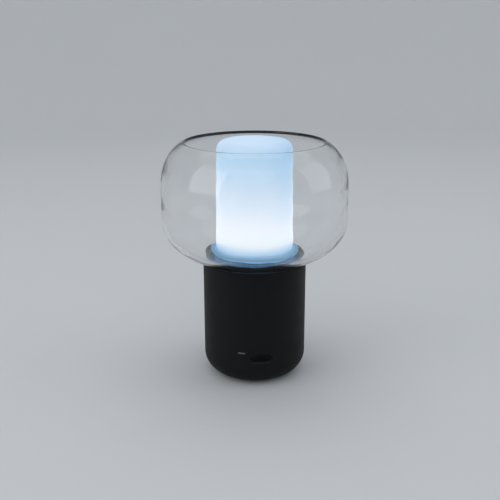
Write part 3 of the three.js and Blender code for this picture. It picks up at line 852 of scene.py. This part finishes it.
class LAMP_OT_glass_shade(Operator):
    """Blows the glass shade: a bowl, a straight wall and a turned-in shoulder with a fire-polished lip"""

    bl_idname = "lamp.glass_shade"
    bl_label = "Glass shade"

    def execute(self, context):
        settings = context.scene.lamp_shade
        rim_angle = 72.2
        outside = shade_face(0, rim_angle)
        inside = shade_face(GLASS_WALL, rim_angle, 0.36)[::-1]
        rim_away = np.array([-0.93, 0.36])
        hole_away = np.array([-0.98, -0.2])
        lip = bead(outside[-1], inside[0], rim_away)
        foot = bead(inside[-1], outside[0], hole_away * 0.35)
        columns = 256
        outer = blown_wave(revolve(outside, columns), settings.wave, 0.0)
        inner = blown_wave(revolve(inside, columns), settings.wave * 1.3, 1.7)
        rings = np.concatenate([outer, revolve(lip, columns), inner, revolve(foot, columns)])
        piece = Solid().add(rings, closed=True).piece("blown_glass_shade")
        finish_piece(piece, "shade", "clear_glass", "glass_shade")
        return {"FINISHED"}


class LAMP_OT_diffuser(Operator):
    """Turns the opal diffuser: a round-topped tube, a flange and a neck that slips over the collar"""

    bl_idname = "lamp.diffuser"
    bl_label = "Opal diffuser"

    def execute(self, context):
        fillet = mm(8.8)
        flange_r, flange_foot, _ = span("opal_diffuser")
        neck_r, neck_bore = mm(34.2), mm(31.6)
        bore = TUBE_FOOT_R - TUBE_WALL
        crown_z, crown_r = DIFFUSER_TOP - fillet, TUBE_TOP_R - fillet
        edge = mm(0.7)
        heel = mm(1.2)
        profile = outline(
            (0, DIFFUSER_TOP - TUBE_WALL),
            arc(crown_r, crown_z, fillet - TUBE_WALL, fillet - TUBE_WALL, 90, 0, 12),
            (bore, FLANGE_TOP + mm(2.5)),
            (neck_bore, FLANGE_TOP - mm(1)),
            (neck_bore, flange_foot + mm(0.6)),
            (neck_bore + mm(0.6), flange_foot),
            (neck_r - mm(0.6), flange_foot),
            (neck_r, flange_foot + mm(0.6)),
            (neck_r, FLANGE_FOOT - mm(0.4)),
            (neck_r + mm(0.4), FLANGE_FOOT),
            arc(flange_r - edge, FLANGE_FOOT + edge, edge, edge, -90, 0, 6),
            arc(flange_r - edge, FLANGE_TOP - edge, edge, edge, 0, 90, 6),
            arc(TUBE_FOOT_R + heel, FLANGE_TOP + heel, heel, heel, 270, 180, 7),
            np.linspace((TUBE_FOOT_R, FLANGE_TOP + mm(3)), (TUBE_TOP_R, crown_z - mm(2)), 16),
            arc(crown_r, crown_z, fillet, fillet, 0, 90, 16),
            np.column_stack([np.linspace(crown_r, 0, 7)[1:], np.full(6, DIFFUSER_TOP)]),
        )
        piece = turned("opal_tube", profile, closed=False)
        finish_piece(piece, "diffuser", "opal_plastic", "opal_diffuser")
        return {"FINISHED"}


class WallHole:
    """A pill-shaped hole through the base's wall, seen along Y, and the patch of wall grid round it."""

    def __init__(self, centre, half, columns, heights, back=False):
        self.centre = centre
        self.half = half
        self.columns = columns
        self.heights = heights
        self.sign = 1 if back else -1

    def rings(self, outer, inner, rounding):
        """Rings from the outer wall's boundary, over a rounded edge and through, to the inner wall's.

        A ring on a wall lies at y = the root of the wall's radius squared less x squared.
        """
        flip = -self.sign
        cx, cz = self.centre
        angle = np.arctan2(outer[:, 2] - cz, outer[:, 0] * flip - cx * flip)
        x, z, nx, nz = pill(angle, *self.half)

        def on_wall(px, pz, radius, depth=0.0):
            across = (px + cx * flip) * flip
            return spread(across, self.sign * (np.sqrt(radius**2 - across**2) - depth), pz + cz)

        def towards(px, pz, ex, ez, shares, radius):
            return [on_wall(px + (ex - px) * t, pz + (ez - pz) * t, radius) for t in shares]

        outer_r, inner_r = (float(np.hypot(wall[0, 0], wall[0, 1])) for wall in (outer, inner))
        near = (outer[:, 0] * flip - cx * flip, outer[:, 2] - cz)
        far = (inner[:, 0] * flip - cx * flip, inner[:, 2] - cz)
        steps = towards(*near, x + nx * rounding, z + nz * rounding, np.linspace(0, 1, 6)[1:], outer_r)
        for out, depth in quarter(rounding, 6):
            steps.append(on_wall(x + nx * out, z + nz * out, outer_r, depth))
        steps.append(on_wall(x, z, inner_r))
        steps += towards(x, z, *far, np.linspace(0, 1, 4)[1:-1], inner_r)
        return np.stack([outer, *steps, inner])


class LAMP_OT_base_shell(Operator):
    """Builds the base shell: a walled cylinder with a large bottom round and three pill-shaped holes"""

    bl_idname = "lamp.base_shell"
    bl_label = "Base shell"

    def execute(self, context):
        settings = context.scene.lamp_base
        columns = 256
        fillet, inner_r = mm(20), BASE_R - BASE_WALL
        inner_fillet, floor_top = mm(14.6), mm(6.6)
        rim = mm(0.7)
        opening, cover_r, cover_seat, ring_seat, recess = mm(17), mm(24), mm(4.2), mm(29.3), mm(2)
        heights = np.concatenate([mm(np.linspace(22, 43, 29)), mm(np.linspace(48, 113, 12))])
        bottom_round = arc(BASE_R - fillet, BASE_FOOT + fillet, fillet, fillet, -90, 0, 24)
        below = outline((ring_seat, BASE_FOOT), bottom_round)
        over = outline(
            arc(BASE_R - rim, BASE_TOP - rim, rim, rim, 0, 90, 5),
            arc(inner_r + rim, BASE_TOP - rim, rim, rim, 90, 180, 5),
        )
        within = outline(
            arc(inner_r - inner_fillet, floor_top + inner_fillet, inner_fillet, inner_fillet, 0, -90, 12),
            [(opening, floor_top), (opening, cover_seat), (cover_r, cover_seat), (cover_r, BASE_FOOT)],
            [(mm(25.3), BASE_FOOT), (mm(25.3), recess), (ring_seat, recess)],
        )
        outer_wall = np.column_stack([np.full(len(heights), BASE_R), heights])
        inner_wall = np.column_stack([np.full(len(heights), inner_r), heights[::-1]])
        rings = revolve(outline(below, outer_wall, over, inner_wall, within), columns)
        first_outer = len(below)
        last_inner = first_outer + 2 * len(heights) + len(over) - 1
        button, light, port = middle("control_button"), middle("status_light_pipe"), middle("usb_port")
        holes = [
            WallHole((0, button.z), BUTTON_HOLE, (-11, 11), (mm(25.1), mm(37.8))),
            WallHole((light.x, light.z), LIGHT_HOLE, (-20, -11), (mm(33.8), mm(38.4))),
            WallHole((0, port.z), PORT_HOLE, (121, 135), (mm(26.5), mm(33.5)), back=True),
        ]
        keep = np.ones(rings.shape[:2], bool)
        shell = Solid()
        for hole in holes:
            low, high = (int(np.argmin(np.abs(heights - h))) for h in hole.heights)
            left, right = hole.columns
            wide, tall = right - left, high - low
            up, on = np.arange(low, high), np.arange(left, right)
            rows = np.concatenate([np.full(wide, low), up, np.full(wide, high), up[::-1] + 1])
            across = np.concatenate([on, np.full(tall, right), on[::-1] + 1, np.full(tall, left)])
            outer = rings[first_outer + rows, across % columns]
            inner = rings[last_inner - rows, across % columns]
            shell.add(hole.rings(outer, inner, min(settings.rounding, hole.half[1] * 0.4)))
            keep[np.ix_(first_outer + up, on % columns)] = False
            keep[np.ix_(last_inner - 1 - up, on % columns)] = False
        shell.add(rings, closed=True, keep=keep)
        piece = crisp(shell.piece("base_shell"), 50)
        finish_piece(piece, "base", "black_shell", "housing_shell")
        return {"FINISHED"}


class LAMP_OT_button(Operator):
    """Shapes the oval button: a face on the base's round, with a thumb scoop deepest at its lower lip"""

    bl_idname = "lamp.button"
    bl_label = "Button"

    def execute(self, context):
        low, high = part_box("control_button")
        centre_z = (low.z + high.z) / 2
        half_width, half_height = mm(10.15), mm(4.4)
        face_r, back_y, edge = mm(48.4), high.y, mm(0.45)
        scoop_r, scoop_width, scoop_depth, scoop_drop = mm(10.2), mm(13.4), mm(2.9), mm(4)
        x, z, nx, nz = even_pill(half_width, half_height, 144)

        def face(px, pz):
            """The face's y: the round's, or the scoop ellipsoid's where that is deeper, softly blended."""
            skin = -np.sqrt(face_r**2 - px**2)
            middle_y = scoop_depth - face_r - scoop_r
            under = 1 - (px / scoop_width) ** 2 - ((pz + scoop_drop) / scoop_r) ** 2
            scoop = middle_y + scoop_r * np.sqrt(np.maximum(under, 0))
            soft = mm(0.35)
            return (skin + scoop + np.sqrt((skin - scoop) ** 2 + soft**2)) / 2 - soft / 2

        def ring(px, pz, depth=0.0):
            return spread(px, face(px, pz) + depth, pz + centre_z)

        rim_x, rim_z = x - nx * edge, z - nz * edge
        rings = [ring(rim_x * share, rim_z * share) for share in np.linspace(0.02, 1, 30)]
        rings += [ring(x - nx * out, z - nz * out, depth) for out, depth in quarter(edge, 6)]
        flange_front, wide = back_y - mm(1.1), mm(1.6)
        rings.append(spread(x, flange_front, z + centre_z))
        rings += [spread(x + nx * wide, y, z + nz * wide + centre_z) for y in (flange_front, back_y)]
        piece = crisp(capped("thumb_button", rings), 40)
        finish_piece(piece, "button", "black_plastic", "control_button", finish="black_shell")
        return {"FINISHED"}


class LAMP_OT_status_light(Operator):
    """Shapes the pill of the status light pipe, domed a little at its lit end"""

    bl_idname = "lamp.status_light"
    bl_label = "Status light"

    def execute(self, context):
        low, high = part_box("status_light_pipe")
        centre = (low + high) / 2
        edge, face_r = mm(0.18), BASE_R - mm(0.06)
        x, z, nx, nz = even_pill((high.x - low.x) / 2, (high.z - low.z) / 2, 64)

        def ring(px, pz, depth=0.0):
            across = px + centre.x
            return spread(across, depth - np.sqrt(face_r**2 - across**2), pz + centre.z)

        rim_x, rim_z = x - nx * edge, z - nz * edge
        rings = [ring(rim_x * share, rim_z * share) for share in np.linspace(0.05, 1, 6)]
        rings += [ring(x - nx * out, z - nz * out, depth) for out, depth in quarter(edge, 5)]
        rings.append(spread(x + centre.x, high.y, z + centre.z))
        piece = crisp(capped("status_light", rings), 50)
        finish_piece(piece, "base", "light_pipe", "status_light_pipe")
        return {"FINISHED"}


def box_rings(low, high, edge):
    """Rings of a box with cut edges, from its lowest face up: each is a rectangle with cut corners."""
    low, high = np.array(low, float), np.array(high, float)
    signs = np.array([(1, -1), (1, -1), (1, 1), (1, 1), (-1, 1), (-1, 1), (-1, -1), (-1, -1)], float)
    cut = np.array([(-1, 0), (0, 1), (0, -1), (-1, 0), (1, 0), (0, -1), (0, 1), (1, 0)], float)
    half, centre = (high - low)[:2] / 2, (high + low)[:2] / 2

    def ring(inset, z):
        return spread(*(centre + signs * (half - inset) + cut * edge).T, z)

    levels = [(edge, low[2]), (0, low[2] + edge), (0, high[2] - edge), (edge, high[2])]
    return np.stack([ring(inset, z) for inset, z in levels])


class LAMP_OT_port(Operator):
    """Builds the charging port: a metal shell with a rolled mouth, a tongue and two rows of contacts"""

    bl_idname = "lamp.port"
    bl_label = "Charging port"

    def execute(self, context):
        low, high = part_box("usb_port")
        centre = (low + high) / 2
        half = ((high.x - low.x) / 2, (high.z - low.z) / 2)
        wall, roll, chamfer = mm(0.3), mm(0.12), mm(0.2)
        x, z, nx, nz = even_pill(*half, 72)

        def ring(inset, y):
            return spread(x - nx * inset + centre.x, y, z - nz * inset + centre.z)

        mouth, inner_end = high.y, high.y - mm(6.2)
        walls = [(chamfer, low.y), (0, low.y + chamfer), (0, mouth - roll), (roll, mouth)]
        walls += [(wall - roll, mouth), (wall, mouth - roll), (wall, inner_end)]
        piece = crisp(capped("charging_port", [ring(*step) for step in walls]), 30)
        finish_piece(piece, "base", "nickel", "usb_port")
        half_width, half_height = mm(3.35), mm(0.35)
        tongue = box_rings(
            (-half_width, inner_end - mm(0.1), centre.z - half_height),
            (half_width, mouth - mm(1.0), centre.z + half_height),
            mm(0.1),
        )
        finish_piece(crisp(capped("port_tongue", tongue), 20), "base", "black_epoxy")
        contacts = Solid()
        back, front, half_width = inner_end + mm(0.4), mouth - mm(1.5), mm(0.13)
        for side in (-1, 1):
            for place in np.linspace(-mm(2.75), mm(2.75), 12):
                foot, top = sorted((centre.z + side * mm(0.34), centre.z + side * mm(0.4)))
                left, right = place - half_width, place + half_width
                strip = box_rings((left, back, foot), (right, front, top), mm(0.02))
                contacts.add(strip, start_cap=True, end_cap=True)
        piece = contacts.piece("port_contacts")
        piece.data.shade_flat()
        finish_piece(piece, "base", "nickel")
        return {"FINISHED"}


def bowl_height(radius, inset=0.0):
    """Height of the bowl's outside at a radius, or of its inside with the wall's thickness as inset."""
    share = (radius - BOWL_CENTRE_R) / (SHADE_R - inset - BOWL_CENTRE_R)
    return BOWL_TOP - (BOWL_DEPTH - inset) * np.sqrt(1 - share**2)


class LAMP_OT_seals(Operator):
    """Turns the silicone pieces: the shade's grommet, the seat gasket and the collar's ring"""

    bl_idname = "lamp.seals"
    bl_label = "Seals"

    def execute(self, context):
        gap = mm(0.3)
        lip_r, foot, top = span("shade_grommet")
        bore, hole = mm(34.6), GLASS_HOLE_R - gap
        on_glass = [(r, bowl_height(r, GLASS_WALL) + gap) for r in (mm(37.4), mm(38.2), lip_r)]
        neck = [(bore, foot), (hole, foot), (hole, on_glass[0][1] + mm(0.1))]
        piece = turned("grommet", rounded(outline(neck, on_glass, (lip_r, top), (bore, top)), mm(0.5)))
        finish_piece(piece, "shade", "milky_silicone", "shade_grommet")
        outer, foot, _ = span("seat_gasket")
        inner = mm(41.5)
        tops = [(r, bowl_height(r) - gap) for r in (outer, (inner + outer) / 2, inner)]
        piece = turned("bowl_gasket", rounded(outline((inner, foot), (outer, foot), tops), mm(0.4)))
        finish_piece(piece, "base", "silicone", "seat_gasket")
        _, foot, top = span("retention_ring")
        half = (top - foot) / 2
        ring = arc(COLLAR_R - mm(0.1), foot + half, half + mm(0.1), half, 0, 360, 17)[:-1]
        finish_piece(turned("collar_ring", ring), "base", "silicone", "retention_ring")
        return {"FINISHED"}


class LAMP_OT_underside(Operator):
    """Turns the foot ring with its grip grooves and the bottom cover with its three screw seats"""

    bl_idname = "lamp.underside"
    bl_label = "Underside"

    def execute(self, context):
        inner = mm(25.5)
        edge, groove, pitch = mm(0.35), mm(0.22), mm(0.6)
        sides = np.array([(-mm(0.12), TABLE), (-mm(0.06), TABLE + groove)])
        one_groove = np.vstack([sides, (sides * (-1, 1))[::-1]])
        places = np.arange(inner + mm(0.8), FOOT_R - mm(0.7), pitch)
        grooves = (one_groove + np.column_stack([places, 0 * places])[:, None]).reshape(-1, 2)
        profile = outline(
            arc(inner + edge, TABLE + edge, edge, edge, 180, 270, 5),
            grooves,
            arc(FOOT_R - edge, TABLE + edge, edge, edge, 270, 360, 5),
            (FOOT_R, FOOT_TOP),
            (inner, FOOT_TOP),
        )
        piece = crisp(turned("grip_ring", profile), 40)
        finish_piece(piece, "base", "silicone", "foot_ring")
        cover_r, foot, top = span("bottom_cover")
        edge = mm(0.4)
        rim = arc(cover_r - edge, foot + edge, edge, edge, -90, 0, 5)
        cover = turned("base_cover", outline((0, foot), rim, (cover_r, top), (0, top)), closed=False)
        head_r, hole_r = mm(3.1), mm(1.75)
        clear = mm(1)
        seat = [(0, foot - clear), (head_r, foot - clear), (head_r, foot + mm(0.7)), (hole_r, foot + mm(2))]
        seat += [(hole_r, top + clear), (0, top + clear)]
        bored(cover, screw_seats("cover_screw", outline(seat)))
        finish_piece(cover, "base", "black_plastic", "bottom_cover")
        return {"FINISHED"}


class LAMP_OT_deck(Operator):
    """Turns the deck under the shade, with the grooved collar that the diffuser's neck slips over"""

    bl_idname = "lamp.deck"
    bl_label = "Deck and collar"

    def execute(self, context):
        ring_z = middle("retention_ring").z
        groove, bore = mm(1.2), mm(22)
        corners = [
            [(bore, DECK_FOOT), (DECK_R, DECK_FOOT), (DECK_R, DECK_TOP), (COLLAR_R, DECK_TOP)],
            [(COLLAR_R, ring_z - groove), (COLLAR_R - groove, ring_z - groove)],
            [(COLLAR_R - groove, ring_z + groove), (COLLAR_R, ring_z + groove)],
            [(COLLAR_R, COLLAR_TOP), (COLLAR_BORE_R, COLLAR_TOP)],
            [(COLLAR_BORE_R, DECK_TOP), (bore, DECK_TOP)],
        ]
        deck = turned("collar_deck", rounded(outline(*corners), mm(0.45)))
        foot, top, hole_r, head_r = DECK_FOOT - mm(1), DECK_TOP + mm(1), mm(1.75), mm(2.8)
        seat = [(0, foot), (hole_r, foot), (hole_r, DECK_TOP - mm(1.8)), (head_r, DECK_TOP - mm(0.65))]
        bored(deck, screw_seats("deck_screw", outline(seat, [(head_r, top), (0, top)])))
        finish_piece(deck, "base", "black_plastic", "top_deck")
        return {"FINISHED"}


def screw_rings(head_r, head_height, shank_r, length, countersunk):
    """Rings of a screw with its head's top at 0: a hexagonal recess, a head, a thread and a cut tip.

    The recess's radius at each turn is its flat distance over the cosine of the turn within its sixth.
    """
    turn = np.linspace(0, 2 * np.pi, 48, endpoint=False)
    flat = head_r * 0.42
    hexagon = flat / np.cos((turn % (np.pi / 3)) - np.pi / 6)
    under = -head_height
    round_off = min(head_height * 0.35, head_r * 0.25)
    thread = shank_r * 0.94
    steps = [(hexagon * 0.6, -head_height * 0.62), (hexagon, -head_height * 0.56)]
    steps += [(hexagon, -mm(0.06)), (hexagon + mm(0.08), 0)]
    steps += [(head_r - round_off, 0), (head_r - round_off * 0.3, -round_off * 0.2), (head_r, -round_off)]
    if countersunk:
        steps += [(shank_r, under)]
    else:
        steps += [(head_r, under + mm(0.1)), (head_r - mm(0.1), under), (shank_r, under)]
    pitch = mm(0.6)
    for k in range(int((length - mm(0.8)) / pitch)):
        z = under - mm(0.2) - k * pitch
        steps += [(thread * 0.9, z), (shank_r, z - pitch * 0.5)]
    steps += [(thread * 0.9, under - length + mm(0.4)), (shank_r * 0.5, under - length)]
    return np.stack([spread(radius * np.sin(turn), -radius * np.cos(turn), z) for radius, z in steps])


# how many, head radius, head height, shank radius, countersunk
SCREWS = {
    "cover_screw": (3, mm(2.8), mm(1.7), mm(1.4), True),
    "deck_screw": (3, mm(2.6), mm(1.5), mm(1.3), True),
    "cradle_screw": (2, mm(2.6), mm(1.8), mm(1.4), False),
    "board_screw": (2, mm(2.5), mm(1.6), mm(1.3), False),
    "led_board_screw": (2, mm(2.1), mm(1.4), mm(1.2), False),
}


class LAMP_OT_screws(Operator):
    """Makes every screw with a hexagonal recess and a thread"""

    bl_idname = "lamp.screws"
    bl_label = "Screws"

    def execute(self, context):
        for kind, (count, head_r, head_height, shank_r, countersunk) in SCREWS.items():
            for number in range(1, count + 1):
                node = f"{kind}_{number}"
                low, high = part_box(node)
                length = high.z - low.z - head_height
                rings = screw_rings(head_r, head_height, shank_r, length, countersunk)
                centre = (low + high) / 2
                upside_down = kind == "cover_screw"
                rings = rings * np.array([1, -1, -1] if upside_down else [1, 1, 1])
                rings = rings + np.array([centre.x, centre.y, low.z if upside_down else high.z])
                finish_piece(crisp(capped(f"{kind}_made_{number}", rings)), "base", "steel", node)
        return {"FINISHED"}


def square_ring(half, corner, z, count=40):
    """A square ring with round corners: a clamped square's point plus the corner radius along the turn."""
    turn = np.linspace(0, 2 * np.pi, count, endpoint=False) + np.pi / count
    c, s = np.cos(turn), np.sin(turn)
    reach = 1 / np.maximum(np.abs(c), np.abs(s))
    x, y = (np.clip(v * reach * half, -(half - corner), half - corner) for v in (c, s))
    return spread(x + corner * c, y + corner * s, z)


class LAMP_OT_light_engine(Operator):
    """Builds the eight LEDs, each a white cup filled with lit gel, and turns the reflector cone"""

    bl_idname = "lamp.light_engine"
    bl_label = "Light engine"

    def execute(self, context):
        half, corner, bevel = mm(1.75), mm(0.25), mm(0.08)
        well, well_corner, well_depth = half * 0.76, mm(0.5), mm(0.12)
        count = 8
        for number in range(1, count + 1):
            low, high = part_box(f"led_{number}")
            centre = (low + high) / 2
            turn = (number - 1) * math.tau / count
            c, s = math.cos(turn), math.sin(turn)
            spin = np.array([[c, s, 0], [-s, c, 0], [0, 0, 1]])
            height = high.z - low.z
            cup = [(half, corner, 0), (half, corner, height - bevel), (half - bevel, corner, height)]
            cup += [(half * 0.82, well_corner, height), (well, well_corner, height - well_depth)]
            gel = [(well * k, well_corner * k, height - well_depth * k * k) for k in (0.7, 0.4, 0.15)]
            rings = np.stack([square_ring(*step) for step in cup + gel])
            placed = rings @ spin + np.array([centre.x, centre.y, low.z])
            piece = crisp(capped(f"led_package_{number}", placed))
            piece.data.materials.append(FINISHES["white_plastic"])
            piece.data.materials.append(FINISHES["phosphor"])
            faces = piece.data.polygons
            middles, normals = np.empty((2, len(faces), 3))
            faces.foreach_get("center", middles.reshape(-1))
            faces.foreach_get("normal", normals.reshape(-1))
            away = np.hypot(middles[:, 0] - centre.x, middles[:, 1] - centre.y)
            in_well = (normals[:, 2] > 0.5) & (away < half * 0.85)
            faces.foreach_set("material_index", in_well.astype(np.int32))
            finish_piece(piece, "base", "phosphor", f"led_{number}")
        _, foot, top = span("reflector_cone")
        share = np.linspace(0, 1, 26)
        skirt_r, lip = mm(11), mm(0.9)
        flare = skirt_r * (1 - share) ** 1.8 + mm(1.7) * np.sqrt(np.clip(1 - share**6, 0, 1)) * share
        side = np.column_stack([flare, foot + lip + share * (top - foot - lip)])
        piece = turned("cone", outline((0, foot), (skirt_r, foot), side, (0, top)), 96, closed=False)
        finish_piece(crisp(piece, 50), "base", "white_plastic", "reflector_cone")
        return {"FINISHED"}


def soft_light(name, place, aim, size, power, colour=(1, 1, 1), mirrored=False):
    """A rectangular lamp at a place, facing a point, that the camera doesn't see and gloss may not."""
    light = bpy.data.lights.new(name, "AREA")
    light.shape = "RECTANGLE"
    light.size, light.size_y = size
    light.energy = power
    light.color = colour
    holder = bpy.data.objects.new(name, light)
    bpy.context.scene.collection.objects.link(holder)
    holder.location = place
    holder.rotation_euler = (Vector(aim) - Vector(place)).to_track_quat("-Z", "Y").to_euler()
    holder.visible_camera = False
    holder.visible_glossy = mirrored


class LAMP_OT_stage(Operator):
    """Sets the pale floor, the soft lights, the surroundings and the camera"""

    bl_idname = "lamp.stage"
    bl_label = "Stage"

    def execute(self, context):
        settings = context.scene.lamp_stage
        flat_r, cove = 1.6, 1.4
        flat = [(0, 0), (0.3, 0), (0.8, 0), (flat_r, 0)]
        sweep = outline(flat, arc(flat_r, cove, cove, cove, -90, 0, 24)[1:], (flat_r + cove, 3.2))
        floor = Solid().add(revolve(sweep, 96)).piece("floor")
        material, n, into = start("pale_floor", Roughness=0.75)
        tone = n.noise(n.place(), 3.0, 2.0)
        pale = tuple(settings.floor)
        n.link(n.blend(tone, pale, [c * 0.985 for c in pale]), into["Base Color"])
        floor.data.materials.append(material)
        if floor.data.polygons[0].normal.z < 0:
            floor.data.flip_normals()
        key, room_middle, lamp_middle = settings.key, (0, 0, 0.5), (0, 0, 0.13)
        warm, cool = (1.0, 0.985, 0.96), (0.95, 0.97, 1.0)
        soft_light("window", (-1.5, -0.55, 0.85), room_middle, (1.3, 1.5), key, warm, mirrored=True)
        soft_light("side", (1.5, -0.3, 0.8), room_middle, (1.0, 1.4), key * 0.45, cool, mirrored=True)
        soft_light("front", (-0.5, -2.2, 2.0), lamp_middle, (2.6, 1.6), key * 1.2)
        soft_light("over", (0.0, 0.5, 1.9), lamp_middle, (1.4, 1.0), key * 0.5)
        world = bpy.data.worlds.new("room")
        world.use_nodes = True
        background = world.node_tree.nodes["Background"].inputs
        background["Color"].default_value = (0.92, 0.95, 0.98, 1)
        background["Strength"].default_value = 0.8
        context.scene.world = world
        context.scene.view_settings.view_transform = "Standard"
        camera = bpy.data.cameras.new("camera")
        camera.lens, camera.sensor_width = 56.42, 36
        camera.shift_x = -0.0092
        holder = bpy.data.objects.new("camera", camera)
        context.scene.collection.objects.link(holder)
        turn, pitch = settings.turn, 0.3
        across, along = settings.distance * math.sin(turn), settings.distance * math.cos(turn)
        holder.location = (-across, -along, settings.height)
        holder.rotation_euler = (math.pi / 2 - pitch, 0, -turn)
        context.scene.camera = holder
        return {"FINISHED"}


OPERATORS = (
    LAMP_OT_stage,
    LAMP_OT_finishes,
    LAMP_OT_glass_shade,
    LAMP_OT_diffuser,
    LAMP_OT_base_shell,
    LAMP_OT_button,
    LAMP_OT_status_light,
    LAMP_OT_port,
    LAMP_OT_seals,
    LAMP_OT_underside,
    LAMP_OT_deck,
    LAMP_OT_screws,
    LAMP_OT_light_engine,
)
SETTINGS = {
    "lamp_shade": ShadeSettings,
    "lamp_diffuser": DiffuserSettings,
    "lamp_base": BaseSettings,
    "lamp_stage": StageSettings,
}


class LAMP_PT_looks(Panel):
    """Lists the lamp's settings and the steps that build it"""

    bl_label = "Table lamp"
    bl_idname = "LAMP_PT_looks"
    bl_space_type = "VIEW_3D"
    bl_region_type = "UI"
    bl_category = "Table Lamp"

    def draw(self, context):
        for name, settings in SETTINGS.items():
            box = self.layout.box()
            box.label(text=settings.__doc__)
            for key in settings.__annotations__:
                box.prop(getattr(context.scene, name), key)
        for operator in OPERATORS:
            self.layout.operator(operator.bl_idname)


CLASSES = (*SETTINGS.values(), *OPERATORS, LAMP_PT_looks)


def register():
    for item in CLASSES:
        bpy.utils.register_class(item)
    for name, settings in SETTINGS.items():
        setattr(bpy.types.Scene, name, PointerProperty(type=settings))


def unregister():
    for name in SETTINGS:
        delattr(bpy.types.Scene, name)
    for item in reversed(CLASSES):
        bpy.utils.unregister_class(item)


def main():
    register()
    for operator in OPERATORS:
        family, step = operator.bl_idname.split(".")
        getattr(getattr(bpy.ops, family), step)()


if __name__ == "__main__":
    main()
